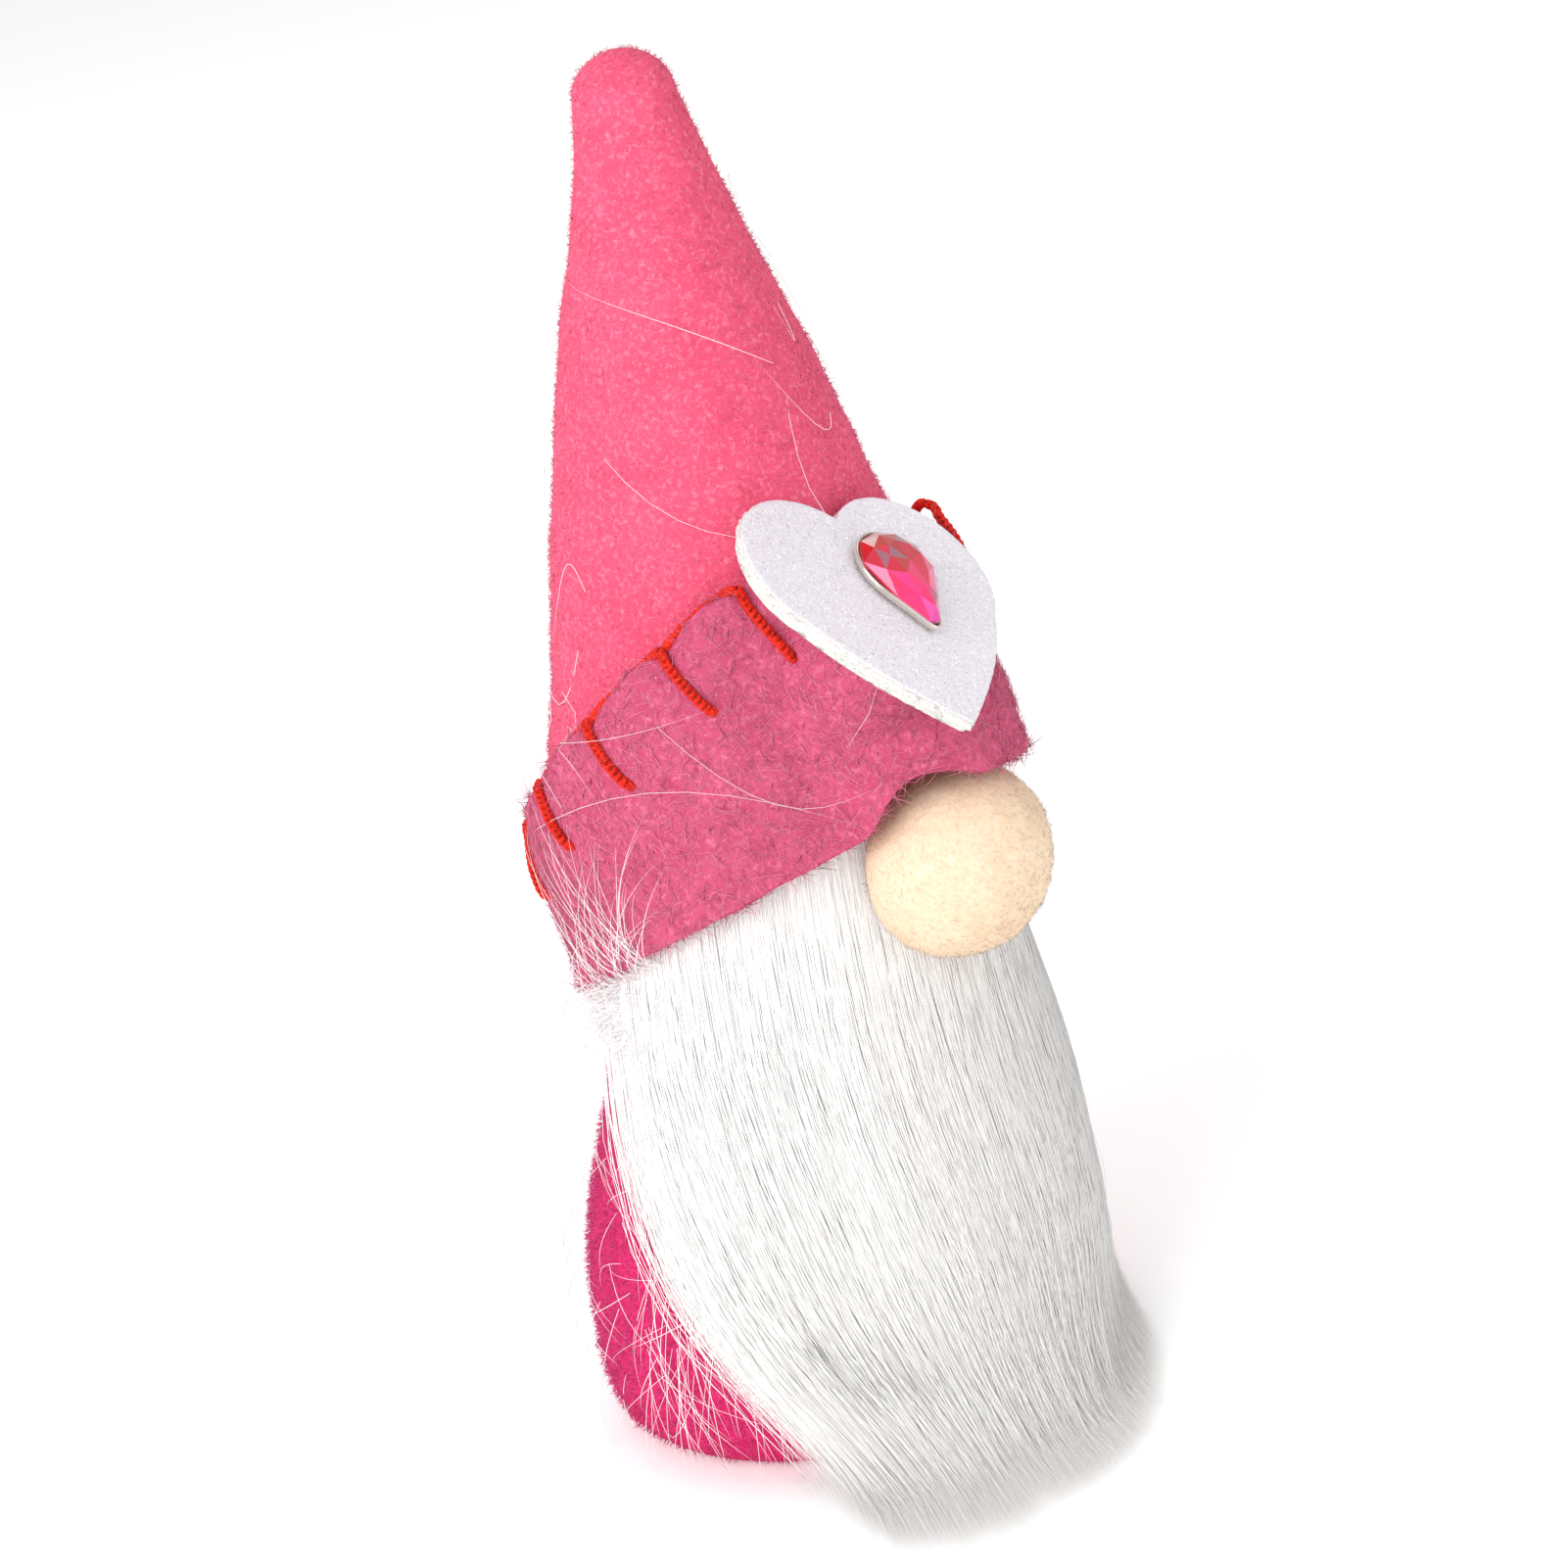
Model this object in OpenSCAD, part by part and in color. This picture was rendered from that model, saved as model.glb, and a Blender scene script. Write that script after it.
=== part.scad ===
// Tomte gnome figurine: stuffed plush body, fur beard, ball nose and tall felt hat.
// Millimetres, +Z up, the face looks along -Y, the floor is at z = 0.

/* [Body] */
// radius at the widest part of the belly
belly_r = 34.2; // [32:0.2:36]
// height of the widest part of the belly
belly_z = 14; // [11:0.5:17]
// radius of the neck under the hat
neck_r = 24.8; // [23.5:0.1:25]
// height where the neck begins
neck_z = 62; // [60:0.5:62]
// height where the head starts to round over
crown_z = 74; // [73:0.5:76]
// height of the gathered opening at the top of the sack
gather_z = 96; // [94:0.5:98]
// radius of the flat fabric base
base_r = 29.5; // [27:0.5:30]
// thickness of the plush cloth
plush_t = 1.4; // [1:0.1:2]
// sideways lean of the sack for each millimetre below the neck
lean_x = 0.048; // [0:0.002:0.05]
// backward lean of the sack for each millimetre below the neck
lean_y = 0.044; // [0:0.002:0.05]

/* [Beard] */
// thickness of the knitted backing of the fur
backing_t = 1.1; // [0.8:0.1:1.2]
// depth of the fur over the backing
fur_depth = 2.5; // [2:0.1:3.5]
// extra spread of the fur ends on the floor
fur_spread = 14; // [8:0.5:15]
// height of the lower edge of the backing
backing_low_z = 24; // [18:1:34]

/* [Nose] */
// radius of the felted ball
nose_r = 12.3; // [11:0.1:12.5]
// distance of the ball centre in front of the body axis
nose_out = 31; // [30:0.5:32]
// height of the ball centre
nose_z = 76; // [75:0.5:77]

/* [Hat] */
// radius of the hat where the cone begins
cone_r = 28.9; // [28.5:0.1:29]
// outside radius of the straight hem under the brim
hem_r = 27.9; // [27.8:0.1:28]
// height of the rounded hat tip
hat_top = 180.5; // [176:0.5:186]
// thickness of the hat fleece
fleece_t = 1.3; // [1:0.1:1.3]
// radius of the rounded tip
tip_r = 5.5; // [5:0.1:6]

/* [Brim] */
// greatest outside radius of the brim band
brim_r = 32; // [31.9:0.1:33]
// thickness of the brim felt
brim_t = 2; // [1.8:0.1:2]
// height of the lower brim edge at the body axis
brim_low_z = 69; // [68.5:0.1:69.5]
// slope of the lower brim edge towards the front
brim_low_k = 0.47; // [0.45:0.01:0.48]
// height of the upper brim edge at the body axis
brim_top_z = 100.2; // [99:0.1:101]
// slope of the upper brim edge towards the front
brim_top_k = 0.8; // [0.76:0.01:0.82]
// radius of the brim bulge over the nose
hood_r = 15; // [14.6:0.1:15.4]

/* [Stitching] */
// radius of the yarn
yarn_r = 0.65; // [0.5:0.05:0.8]
// number of stitch places round the whole edge
stitch_places = 16; // [16:1:16]
// length of one stitch leg
leg_len = 9; // [7:0.5:9.5]

/* [Heart] */
// side of the square that the heart is drawn from
heart_side = 23.9; // [22:0.1:24.5]
// thickness of the foam
foam_t = 2; // [1.6:0.1:2.2]
// thickness of the glitter coat
glitter_t = 0.25; // [0.2:0.05:0.3]
// length of the drop-shaped stone
gem_len = 16; // [14:0.2:16.4]
// width of the drop-shaped stone
gem_w = 12; // [10:0.2:12.4]

/* [Hidden] */
$fn = 48;
big = 400;
slit = 0.15;
base_t = 1.4;
base_pad = 0.8;
belly_low_r = base_r + base_pad;
shape_power = 1.1;
crown_h = gather_z - crown_z + 1;
lean_z = 70;
tuft_r = 4.2;
tuft_h = 5;
tie_r = 0.6;
tie_z = gather_z + tuft_h / 2;
board_r = 27;
board_t = 1.6;
pouch_r = 25.5;
pouch_wall = 0.5;
pouch_h = 15;
pouch_z = base_t + slit + board_t + slit;
back_plane_y = -22;
back_plane_k = 0.42;
flare_fall = 6;
skin = 0.2;
nose_flat_y = 27.2;
cone_z = 85;
hem_z = 88;
cone_drop = 24.9;
cone_bulge = 1.4;
cone_span = 95;
tip_z = hat_top - tip_r;
stuff_low_z = 103;
brim_mid_z = 88;
brim_fall_up = 0.0068;
brim_fall_low = 0.0041;
brim_min_r = 30.1;
hood_out = 28.5;
hood_z = 79;
hood_low_lean = 15;
hood_low_len = 13.4;
puff_r = hood_r + 0.4;
puff_out = 25;
puff_z = 92;
puff_len = 33;
first_stitch = -37.5;
hidden_stitches = 3;
leg_start = 1.2;
yarn_waist = 0.93;
yarn_break = 0.04;
puff_lean = 38;
heart_at = [-4.9, -35.9, 110.2];
heart_turn = 20;
heart_lean = 43;
heart_roll = -26.5;
gem_at = [5, 3.4];
gem_roll = -26;
heart_gap = 0.5;
heart_back = foam_t + glitter_t + heart_gap;
pad_r = 9;
pad_deep = 7.5;
lobe_steps = 18;

// outside radius of the plush body at height z
function body_r(z) =
  z < belly_z
    ? belly_low_r + (belly_r - belly_low_r) * sqrt(max(0, 1 - pow(1 - z / belly_z, 2)))
    : z < neck_z
      ? neck_r + (belly_r - neck_r) * (1 + cos(180 * pow((z - belly_z) / (neck_z - belly_z), shape_power))) / 2
      : z < crown_z
        ? neck_r
        : neck_r * sqrt(max(0, 1 - pow((z - crown_z) / crown_h, 2)));

// outside radius of the hat at height z
function hat_r(z) =
  z < hem_z
    ? hem_r
    : cone_r - cone_drop * (z - cone_z) / cone_span + cone_bulge * sin(180 * (z - cone_z) / cone_span);

// outside radius of the brim band at height z
function band_r(z) =
  z > brim_mid_z
    ? brim_r - brim_fall_up * pow(z - brim_mid_z, 2)
    : max(brim_min_r, brim_r - brim_fall_low * pow(z - brim_mid_z, 2));

// outside radius of the beard fur at height z
function fur_r(z) =
  body_r(max(z, belly_z)) + backing_t + fur_depth + fur_spread * exp(-z / flare_fall);

// heights used along the body, finer near the floor
function rows(low, high, n) = [for (i = [0:n]) low + (high - low) * i / n];

// sideways place of the leaning sack at height z, and the lean of a whole solid
function lean_at(z) = [lean_x * (z - lean_z), lean_y * (lean_z - z), 0];
module lean() {
  multmatrix([
    [1, 0, lean_x, -lean_x * lean_z],
    [0, 1, -lean_y, lean_y * lean_z],
    [0, 0, 1, 0],
    [0, 0, 0, 1]
  ]) children();
}

module body_solid(grow, low, high) {
  rotate_extrude()
    polygon(concat(
      [[0, low]],
      [for (z = low < belly_z ? rows(low, belly_z, 8) : [low]) [body_r(z) + grow, z]],
      [for (i = [1:14]) let (z = max(low, belly_z) + (high - max(low, belly_z)) * i / 14) [body_r(z) + grow, z]],
      [[0, high]]
    ));
}

module hat_solid(shrink, low, high) {
  rotate_extrude()
    polygon(concat(
      [[0, low]],
      low < hem_z ? [[hat_r(low) - shrink, low], [hem_r - shrink, hem_z - 0.5]] : [[hat_r(low) - shrink, low]],
      [for (i = [1:16]) let (z = max(low, hem_z) + (high - max(low, hem_z)) * i / 16) [hat_r(z) - shrink, z]],
      [[0, high]]
    ));
}

module band_solid(shrink, low, high) {
  rotate_extrude()
    polygon(concat(
      [[0, low]],
      [for (z = rows(low, high, 20)) [band_r(z) - shrink, z]],
      [[0, high]]
    ));
}

// everything under the plane z = height - slope * y
module under(height, slope) {
  translate([0, 0, height])
    rotate([-atan(slope), 0, 0])
      translate([-big / 2, -big / 2, -big])
        cube(big);
}

// everything in front of the slanted plane that bounds the beard
module beard_side(shift) {
  translate([0, back_plane_y + shift, 0])
    rotate([-atan(back_plane_k), 0, 0])
      translate([-big / 2, -big, -big / 2])
        cube(big);
}

module nose_space(grow) {
  translate([0, -nose_out, nose_z]) sphere(nose_r + grow);
}

module hood_space(shrink) {
  translate([0, -hood_out, hood_z]) {
    sphere(hood_r - shrink);
    rotate([-hood_low_lean, 0, 0]) cylinder(r = hood_r - shrink, h = hood_low_len);
  }
  translate([0, -puff_out, puff_z]) {
    sphere(puff_r - shrink);
    rotate([-puff_lean, 0, 0]) cylinder(r = puff_r - shrink, h = puff_len);
  }
  heart_place() translate([0, 0, -heart_back - pad_deep]) sphere(pad_r - shrink);
}

// yarn along a list of points: a ball at each point and a slightly thinner rod between
module yarn(points, r) {
  for (p = points) translate(p) sphere(r, $fn = 16);
  for (i = [0:len(points) - 2]) {
    d = points[i + 1] - points[i];
    translate(points[i])
      rotate([0, acos(d[2] / norm(d)), atan2(d[1], d[0])]) cylinder(r = r * yarn_waist, h = norm(d), $fn = 16);
  }
}

// height of the upper brim edge at an angle from the front, found in three passes
function edge_pass(a, z) = brim_top_z + brim_top_k * band_r(z) * cos(a);
function edge_z(a) = edge_pass(a, edge_pass(a, edge_pass(a, edge_pass(a, brim_top_z))));
function on_band(a, z, lift) = [(band_r(z) + lift) * sin(a), -(band_r(z) + lift) * cos(a), z];

// the foot of a stitch leg that leaves the edge at right angles
function edge_slope(a) = (edge_z(a + 1) - edge_z(a - 1)) / (2 * band_r(edge_z(a)) * PI / 180);
function leg_point(a, s) =
  let (k = edge_slope(a), n = sqrt(1 + k * k))
    on_band(a + 180 / PI * s * k / n / band_r(edge_z(a)), edge_z(a) - s / n, yarn_r + skin);

module heart_place() {
  translate(heart_at)
    rotate([0, 0, heart_turn])
      rotate([90 - heart_lean, 0, 0])
        children();
}

// heart outline: two half circles that meet in the cleft, and two straight sides down to the tip
module heart_outline(grow) {
  half = heart_side / 2 + grow;
  lobe = heart_side / (2 * sqrt(2));
  right = [for (i = [1:lobe_steps]) let (a = 135 - 180 * i / lobe_steps) [lobe + half * cos(a), lobe + half * sin(a)]];
  left = [for (i = [lobe_steps:-1:1]) [-right[i - 1][0], right[i - 1][1]]];
  tip = -heart_side / sqrt(2) - grow * sqrt(2);
  cleft = lobe + sqrt(half * half - lobe * lobe);
  rotate(heart_roll)
    polygon(concat([[0, cleft]], right, [[0, tip]], left));
}

// drop shape with its point down, made from a circle and two tangent sides
module drop(len, w) {
  r = w / 2;
  reach = len - r;
  a = asin(r / reach);
  union() {
    circle(r);
    polygon([[0, -reach], [r * cos(a), -r * sin(a)], [0, r / 2], [-r * cos(a), -r * sin(a)]]);
  }
}

module gem_place(z) {
  translate([gem_at[0], gem_at[1], z]) rotate(gem_roll) translate([0, gem_len / 2 - gem_w / 2, 0]) children();
}

module body_sack() {
  color([0.84, 0.18, 0.43])
    lean() difference() {
      union() {
        body_solid(0, 0, gather_z);
        translate([0, 0, gather_z - 1]) cylinder(r = tuft_r, h = tuft_h + 1);
      }
      body_solid(-plush_t, base_t + slit, gather_z - 3);
      translate([0, 0, -1]) cylinder(r = base_r + slit, h = base_t + 1 + 2 * slit);
      translate([0, 0, tie_z]) rotate_extrude() translate([tuft_r, 0]) circle(tie_r + 0.1, $fn = 24);
    }
}

module base_disc() {
  color([0.80, 0.16, 0.40]) translate(lean_at(0)) cylinder(r = base_r - 0.9, h = base_t);
}

module base_seam_thread() {
  color([0.75, 0.12, 0.35])
    translate(lean_at(0.6) + [0, 0, 0.6]) rotate_extrude() translate([base_r - 0.4, 0]) circle(0.4, $fn = 24);
}

board_at = lean_at(base_t + board_t / 2);
pouch_at = lean_at(pouch_z + pouch_h / 2);

module base_board() {
  color([0.62, 0.50, 0.36]) translate(board_at + [0, 0, base_t + slit]) cylinder(r = board_r, h = board_t);
}

module pouch_solid(shrink) {
  corner = 4;
  translate(pouch_at + [0, 0, pouch_z])
    rotate_extrude() {
      translate([0, shrink]) square([pouch_r - corner, pouch_h - 2 * shrink]);
      translate([0, corner]) square([pouch_r - shrink, pouch_h - 2 * corner]);
      translate([pouch_r - corner, corner]) circle(corner - shrink);
      translate([pouch_r - corner, pouch_h - corner]) circle(corner - shrink);
    }
}

module weight_pouch() {
  color([0.85, 0.83, 0.78])
    difference() {
      pouch_solid(0);
      pouch_solid(pouch_wall);
    }
}

module weight_sand() {
  color([0.76, 0.68, 0.52]) pouch_solid(pouch_wall + slit);
}

module body_stuffing() {
  color([0.95, 0.95, 0.93])
    difference() {
      lean() body_solid(-plush_t - slit, base_t + 2 * slit, gather_z - 4);
      translate(pouch_at - [0, 0, 1]) cylinder(r = pouch_r + slit, h = pouch_z + pouch_h + slit + 1);
      translate(board_at - [0, 0, 1]) cylinder(r = board_r + slit, h = base_t + board_t + 3 * slit + 1);
    }
}

module sack_tie() {
  color([0.75, 0.12, 0.35])
    translate(lean_at(tie_z) + [0, 0, tie_z]) rotate_extrude() translate([tuft_r, 0]) circle(tie_r, $fn = 24);
}

module beard_backing() {
  color([0.93, 0.92, 0.90])
    intersection() {
      lean() difference() {
        body_solid(slit + backing_t, backing_low_z, crown_z);
        body_solid(slit, backing_low_z - 2, crown_z + 1);
      }
      beard_side(-3);
    }
}

module beard_fur() {
  color([0.97, 0.96, 0.96])
    difference() {
      intersection() {
        lean() rotate_extrude()
          polygon(concat(
            [[0, 0]],
            [for (i = [0:9]) let (z = 24 * pow(i / 9, 1.6)) [fur_r(z), z]],
            [for (i = [1:10]) let (z = 24 + 60 * i / 10) [fur_r(z), z]],
            [[0, 84]]
          ));
        beard_side(0);
        under(brim_low_z - 0.4, brim_low_k);
      }
      lean() body_solid(slit + backing_t + skin, -1, crown_z + 14);
      translate([0, 0, crown_z - 8]) cylinder(r = neck_r + backing_t + 2 * skin, h = 40);
      nose_space(0.3);
    }
}

module nose_ball() {
  color([0.99, 0.93, 0.83])
    translate([0, -nose_out, nose_z])
      rotate([90, 0, 0])
        rotate_extrude()
          intersection() {
            circle(nose_r);
            translate([0, nose_flat_y - nose_out]) square([2 * nose_r, 3 * nose_r]);
          }
}

module nose_glue() {
  color([0.93, 0.90, 0.80])
    intersection() {
      difference() {
        cylinder(r = hem_r - fleece_t, h = 120);
        cylinder(r = neck_r + backing_t + 3 * slit, h = 121);
      }
      translate([0, 0, nose_z - 4]) rotate([90, 0, 0]) cylinder(r = 4, h = 60);
      nose_space(-1.5);
    }
}

module hat_cone() {
  color([0.98, 0.42, 0.60])
    difference() {
      union() {
        hat_solid(0, 40, tip_z);
        translate([0, 0, tip_z]) sphere(tip_r);
      }
      hat_solid(fleece_t, 39, tip_z - 2);
      under(brim_low_z + 1.2, brim_low_k);
      nose_space(0.3);
    }
}

module seam_wedge(grow) {
  difference() {
    hat_solid(fleece_t + slit - grow, stuff_low_z + 1 - grow, tip_z - 8 + grow);
    hat_solid(fleece_t + 4 + grow, stuff_low_z - 1, tip_z);
    translate([-1.5 - grow - big, -big / 2, 0]) cube(big);
    translate([1.5 + grow, -big / 2, 0]) cube(big);
    translate([-big / 2, -big, 0]) cube(big);
  }
}

module hat_seam_allowance() {
  color([0.92, 0.38, 0.55]) seam_wedge(0);
}

module hat_stuffing() {
  color([0.95, 0.95, 0.93])
    difference() {
      hat_solid(fleece_t + slit, stuff_low_z, tip_z - 4);
      seam_wedge(0.14);
    }
}

module hat_glue_bead() {
  color([0.93, 0.90, 0.80])
    difference() {
      translate([0, 0, 63]) cylinder(r = hem_r - fleece_t - slit, h = 3);
      lean() translate([0, 0, 62]) cylinder(r = neck_r + slit, h = 5);
      translate([-big / 2, 7 - big, 0]) cube(big);
    }
}

module brim_band() {
  color([0.88, 0.38, 0.57])
    difference() {
      intersection() {
        union() {
          band_solid(0, 45, 124);
          hood_space(0);
        }
        under(brim_top_z, brim_top_k);
      }
      band_solid(brim_t, 40, 128);
      hood_space(brim_t);
      nose_space(0.3);
      under(brim_low_z, brim_low_k);
      heart_place() translate([0, 0, -heart_back]) linear_extrude(20) heart_outline(0.3);
    }
}

module stitch_legs() {
  color([0.88, 0.17, 0.12])
    for (i = [0:stitch_places - hidden_stitches - 1]) {
      a = first_stitch - i * 360 / stitch_places;
      yarn([for (s = [leg_start, (leg_start + leg_len) / 2, leg_len]) leg_point(a, s)], yarn_r);
    }
}

module stitch_edge_yarn() {
  color([0.88, 0.17, 0.12])
    for (i = [0:2 * (stitch_places - hidden_stitches - 1) - 1]) {
      a = edge_point(first_stitch - i * 180 / stitch_places);
      d = edge_point(first_stitch - (i + 1) * 180 / stitch_places) - a;
      translate(a + d * yarn_break)
        rotate([0, acos(d[2] / norm(d)), atan2(d[1], d[0])])
          cylinder(r = yarn_r, h = norm(d) * (1 - 2 * yarn_break), $fn = 24);
    }
}
function edge_point(a) = on_band(a, edge_z(a), -0.8) + [0, 0, yarn_r + 0.35];

module heart_foam() {
  color([0.93, 0.91, 0.88])
    heart_place() translate([0, 0, -foam_t - glitter_t]) linear_extrude(foam_t) heart_outline(0);
}

module heart_glitter() {
  color([0.89, 0.88, 0.93])
    heart_place() translate([0, 0, -glitter_t]) linear_extrude(glitter_t) heart_outline(0);
}

module heart_glue() {
  color([0.93, 0.90, 0.80])
    heart_place() translate([0, 0, -heart_back + 0.1]) cylinder(r = pad_r / 2, h = heart_gap - 0.2);
}

module gem_glue() {
  color([0.93, 0.90, 0.80])
    heart_place() gem_place(0) linear_extrude(0.3) drop(gem_len - 3, gem_w - 3);
}

module gem_foil() {
  color([0.80, 0.78, 0.75])
    heart_place() gem_place(0.3) linear_extrude(0.9) drop(gem_len, gem_w);
}

module gem_stone() {
  color([0.90, 0.24, 0.36])
    heart_place() gem_place(1.2) {
      linear_extrude(0.7) drop(gem_len - 0.7, gem_w - 0.5);
      translate([0, 0, 0.7]) linear_extrude(1.5) drop(gem_len - 4.4, gem_w - 3.4);
    }
}

body_sack();
base_disc();
base_seam_thread();
base_board();
weight_pouch();
weight_sand();
body_stuffing();
sack_tie();
beard_backing();
beard_fur();
nose_ball();
nose_glue();
hat_cone();
hat_seam_allowance();
hat_stuffing();
hat_glue_bead();
brim_band();
stitch_legs();
stitch_edge_yarn();
heart_foam();
heart_glitter();
heart_glue();
gem_stone();
gem_foil();
gem_glue();
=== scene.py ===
"""Tomte gnome figurine: plush body, long fur beard, felted ball nose, fleece hat with a stitched felt brim,
and a glitter heart with a drop-shaped stone. Shapes are worked out in millimetres and set into the meshes
in metres."""

import math

import bpy
import numpy as np
from mathutils import Matrix, Vector


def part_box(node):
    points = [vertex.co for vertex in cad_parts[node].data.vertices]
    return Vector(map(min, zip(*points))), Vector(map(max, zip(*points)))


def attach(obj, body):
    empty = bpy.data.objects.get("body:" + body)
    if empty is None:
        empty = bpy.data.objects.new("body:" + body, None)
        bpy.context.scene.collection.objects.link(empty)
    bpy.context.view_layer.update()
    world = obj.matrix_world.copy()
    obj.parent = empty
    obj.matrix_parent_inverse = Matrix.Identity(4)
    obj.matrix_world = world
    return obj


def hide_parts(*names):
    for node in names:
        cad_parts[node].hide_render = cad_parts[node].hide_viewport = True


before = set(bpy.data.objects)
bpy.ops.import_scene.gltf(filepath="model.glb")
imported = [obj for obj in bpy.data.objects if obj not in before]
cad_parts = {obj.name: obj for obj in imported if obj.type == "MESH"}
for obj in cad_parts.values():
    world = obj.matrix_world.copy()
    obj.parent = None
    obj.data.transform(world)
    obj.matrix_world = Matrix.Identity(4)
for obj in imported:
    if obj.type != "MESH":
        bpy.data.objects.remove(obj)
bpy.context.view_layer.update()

MM = 0.001
TAU = 2 * math.pi


def deg(a):
    return np.radians(a)


def near_middle(node):
    """Middle and half size of a CAD node's box, in millimetres."""
    low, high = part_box(node)
    low, high = np.array(low) / MM, np.array(high) / MM
    return (low + high) / 2, (high - low) / 2


# ---------------------------------------------------------------- sizes that the pieces share, in millimetres

BELLY_R, BELLY_Z = 34.2, 14.0
NECK_R, NECK_Z = 24.8, 62.0
CROWN_Z, GATHER_Z = 74.0, 96.0
BASE_R = 30.3
LEAN_X, LEAN_Y, LEAN_Z = 0.048, 0.044, 70.0
BACKING = 1.3
FUR_DEPTH = 2.4

HAT_TIP_Z = 180.5
HAT_TIP_R = 5.5
HEM_R, HEM_Z = 27.9, 88.0
CONE_Z, CONE_SPAN = 85.0, 95.0

BRIM_R, BRIM_MID_Z = 32.0, 88.0
BRIM_LOW_Z, BRIM_LOW_K = 69.0, 0.47
BRIM_TOP_Z, BRIM_TOP_K = 100.2, 0.8
FELT = 2.2

nose_mid, nose_half = near_middle("nose_ball")
NOSE_R = nose_half[0]
NOSE_AT = np.array([0.0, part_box("nose_ball")[0][1] / MM + NOSE_R, nose_mid[2]])

STITCHES, FIRST_STITCH, UNDER_HEART = 16, -39.5, 3
YARN_R = 0.68

HEART_AT = np.array([-4.9, -35.9, 110.2])
HEART_TURN, HEART_LEAN, HEART_ROLL = 20.0, 43.0, -26.5
HEART_SIDE = 23.9
FOAM = 2.25
GEM_AT = np.array([5.0, 3.4])
GEM_LEN, GEM_W, GEM_ROLL = 16.0, 12.0, -26.0


# ---------------------------------------------------------------- shape functions


def body_radius(z):
    """Quarter ellipse from the base to the belly, half a cosine wave in to the neck, then an ellipse over
    the crown."""
    z = np.asarray(z, float)
    low = BASE_R + (BELLY_R - BASE_R) * np.sqrt(np.clip(1 - (1 - z / BELLY_Z) ** 2, 0, 1))
    share = np.clip((z - BELLY_Z) / (NECK_Z - BELLY_Z), 0, 1) ** 1.1
    middle = NECK_R + (BELLY_R - NECK_R) * (1 + np.cos(np.pi * share)) / 2
    top = NECK_R * np.sqrt(np.clip(1 - ((z - CROWN_Z) / (GATHER_Z - CROWN_Z + 1)) ** 2, 0, 1))
    return np.where(z < BELLY_Z, low, np.where(z < CROWN_Z, middle, top))


def hat_radius(z):
    """Straight hem, then a cone that swells a little halfway: line minus drop plus half a sine wave."""
    z = np.asarray(z, float)
    up = np.clip((z - CONE_Z) / CONE_SPAN, 0, 1)
    return np.where(z < HEM_Z, HEM_R, 28.9 - 24.9 * up + 1.4 * np.sin(np.pi * up))


def band_radius(z):
    """Two parabolas that meet at the widest height of the brim."""
    z = np.asarray(z, float)
    rise = z - BRIM_MID_Z
    return np.where(rise > 0, BRIM_R - 0.0068 * rise**2, np.maximum(30.1, BRIM_R - 0.0041 * rise**2))


def smooth(a, b, x):
    """Smooth step from 0 at a to 1 at b."""
    t = np.clip((np.asarray(x, float) - a) / (b - a), 0, 1)
    return t * t * (3 - 2 * t)


def ripple(p, size, seed, waves=7):
    """Soft unevenness between -1 and 1: a sum of sine waves in seeded directions, with a wavelength near
    size."""
    rng = np.random.default_rng(seed)
    total = 0.0
    for _ in range(waves):
        d = rng.normal(size=3)
        d *= TAU / size * rng.uniform(0.6, 1.6) / np.linalg.norm(d)
        total = total + np.sin(p @ d + rng.uniform(0, TAU))
    return total / math.sqrt(waves) / 1.6


def around(phi, r, z):
    """Point at angle phi from the front (towards +X), radius r and height z."""
    return np.stack(np.broadcast_arrays(r * np.sin(phi), -r * np.cos(phi), z), -1)


def lean(z):
    """Sideways place of the leaning sack at height z."""
    z = np.asarray(z, float)
    return np.stack([LEAN_X * (z - LEAN_Z), LEAN_Y * (LEAN_Z - z), 0 * z], -1)


def round_body(phi, r, z):
    """The same as around, but round the leaning sack."""
    phi, r, z = np.broadcast_arrays(phi, r, z)
    return around(phi, r, z) + lean(z)


def unit(v):
    return v / np.maximum(np.linalg.norm(v, axis=-1, keepdims=True), 1e-9)


def heart_axes():
    """Right, up and outward directions of the heart's flat face."""
    turn, lean = deg(HEART_TURN), deg(HEART_LEAN)
    out = np.array([math.sin(turn) * math.cos(lean), -math.cos(turn) * math.cos(lean), math.sin(lean)])
    right = np.array([math.cos(turn), math.sin(turn), 0.0])
    return right, np.cross(out, right), out


def on_heart(u, v, w):
    """Point at u to the right, v up and w outwards on the heart's face."""
    right, up, out = heart_axes()
    u, v, w = (np.asarray(x, float)[..., None] for x in np.broadcast_arrays(u, v, w))
    return HEART_AT + u * right + v * up + w * out


def turned(u, v, angle):
    c, s = math.cos(deg(angle)), math.sin(deg(angle))
    return u * c - v * s, u * s + v * c


def behind_heart(p, gap):
    """Presses points back along the heart's normal to lie gap millimetres behind the foam; the limit fades
    out from the heart's outline with a slope."""
    right, up, out = heart_axes()
    d = p - HEART_AT
    u, v = turned(d @ right, d @ up, -HEART_ROLL)
    lobe = HEART_SIDE / (2 * math.sqrt(2))
    lobes = np.hypot(np.abs(u) - lobe, v - lobe) - HEART_SIDE / 2
    point = (np.abs(u) + np.abs(v)) / math.sqrt(2) - HEART_SIDE / 2
    away = np.minimum(lobes, point)
    limit = -FOAM - gap + np.maximum(away, 0) * 0.9
    w = d @ out
    near = (w > -14) & (away < 14)
    return p - np.where(near, np.maximum(w - limit, 0), 0)[..., None] * out


# ---------------------------------------------------------------- meshes


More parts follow.
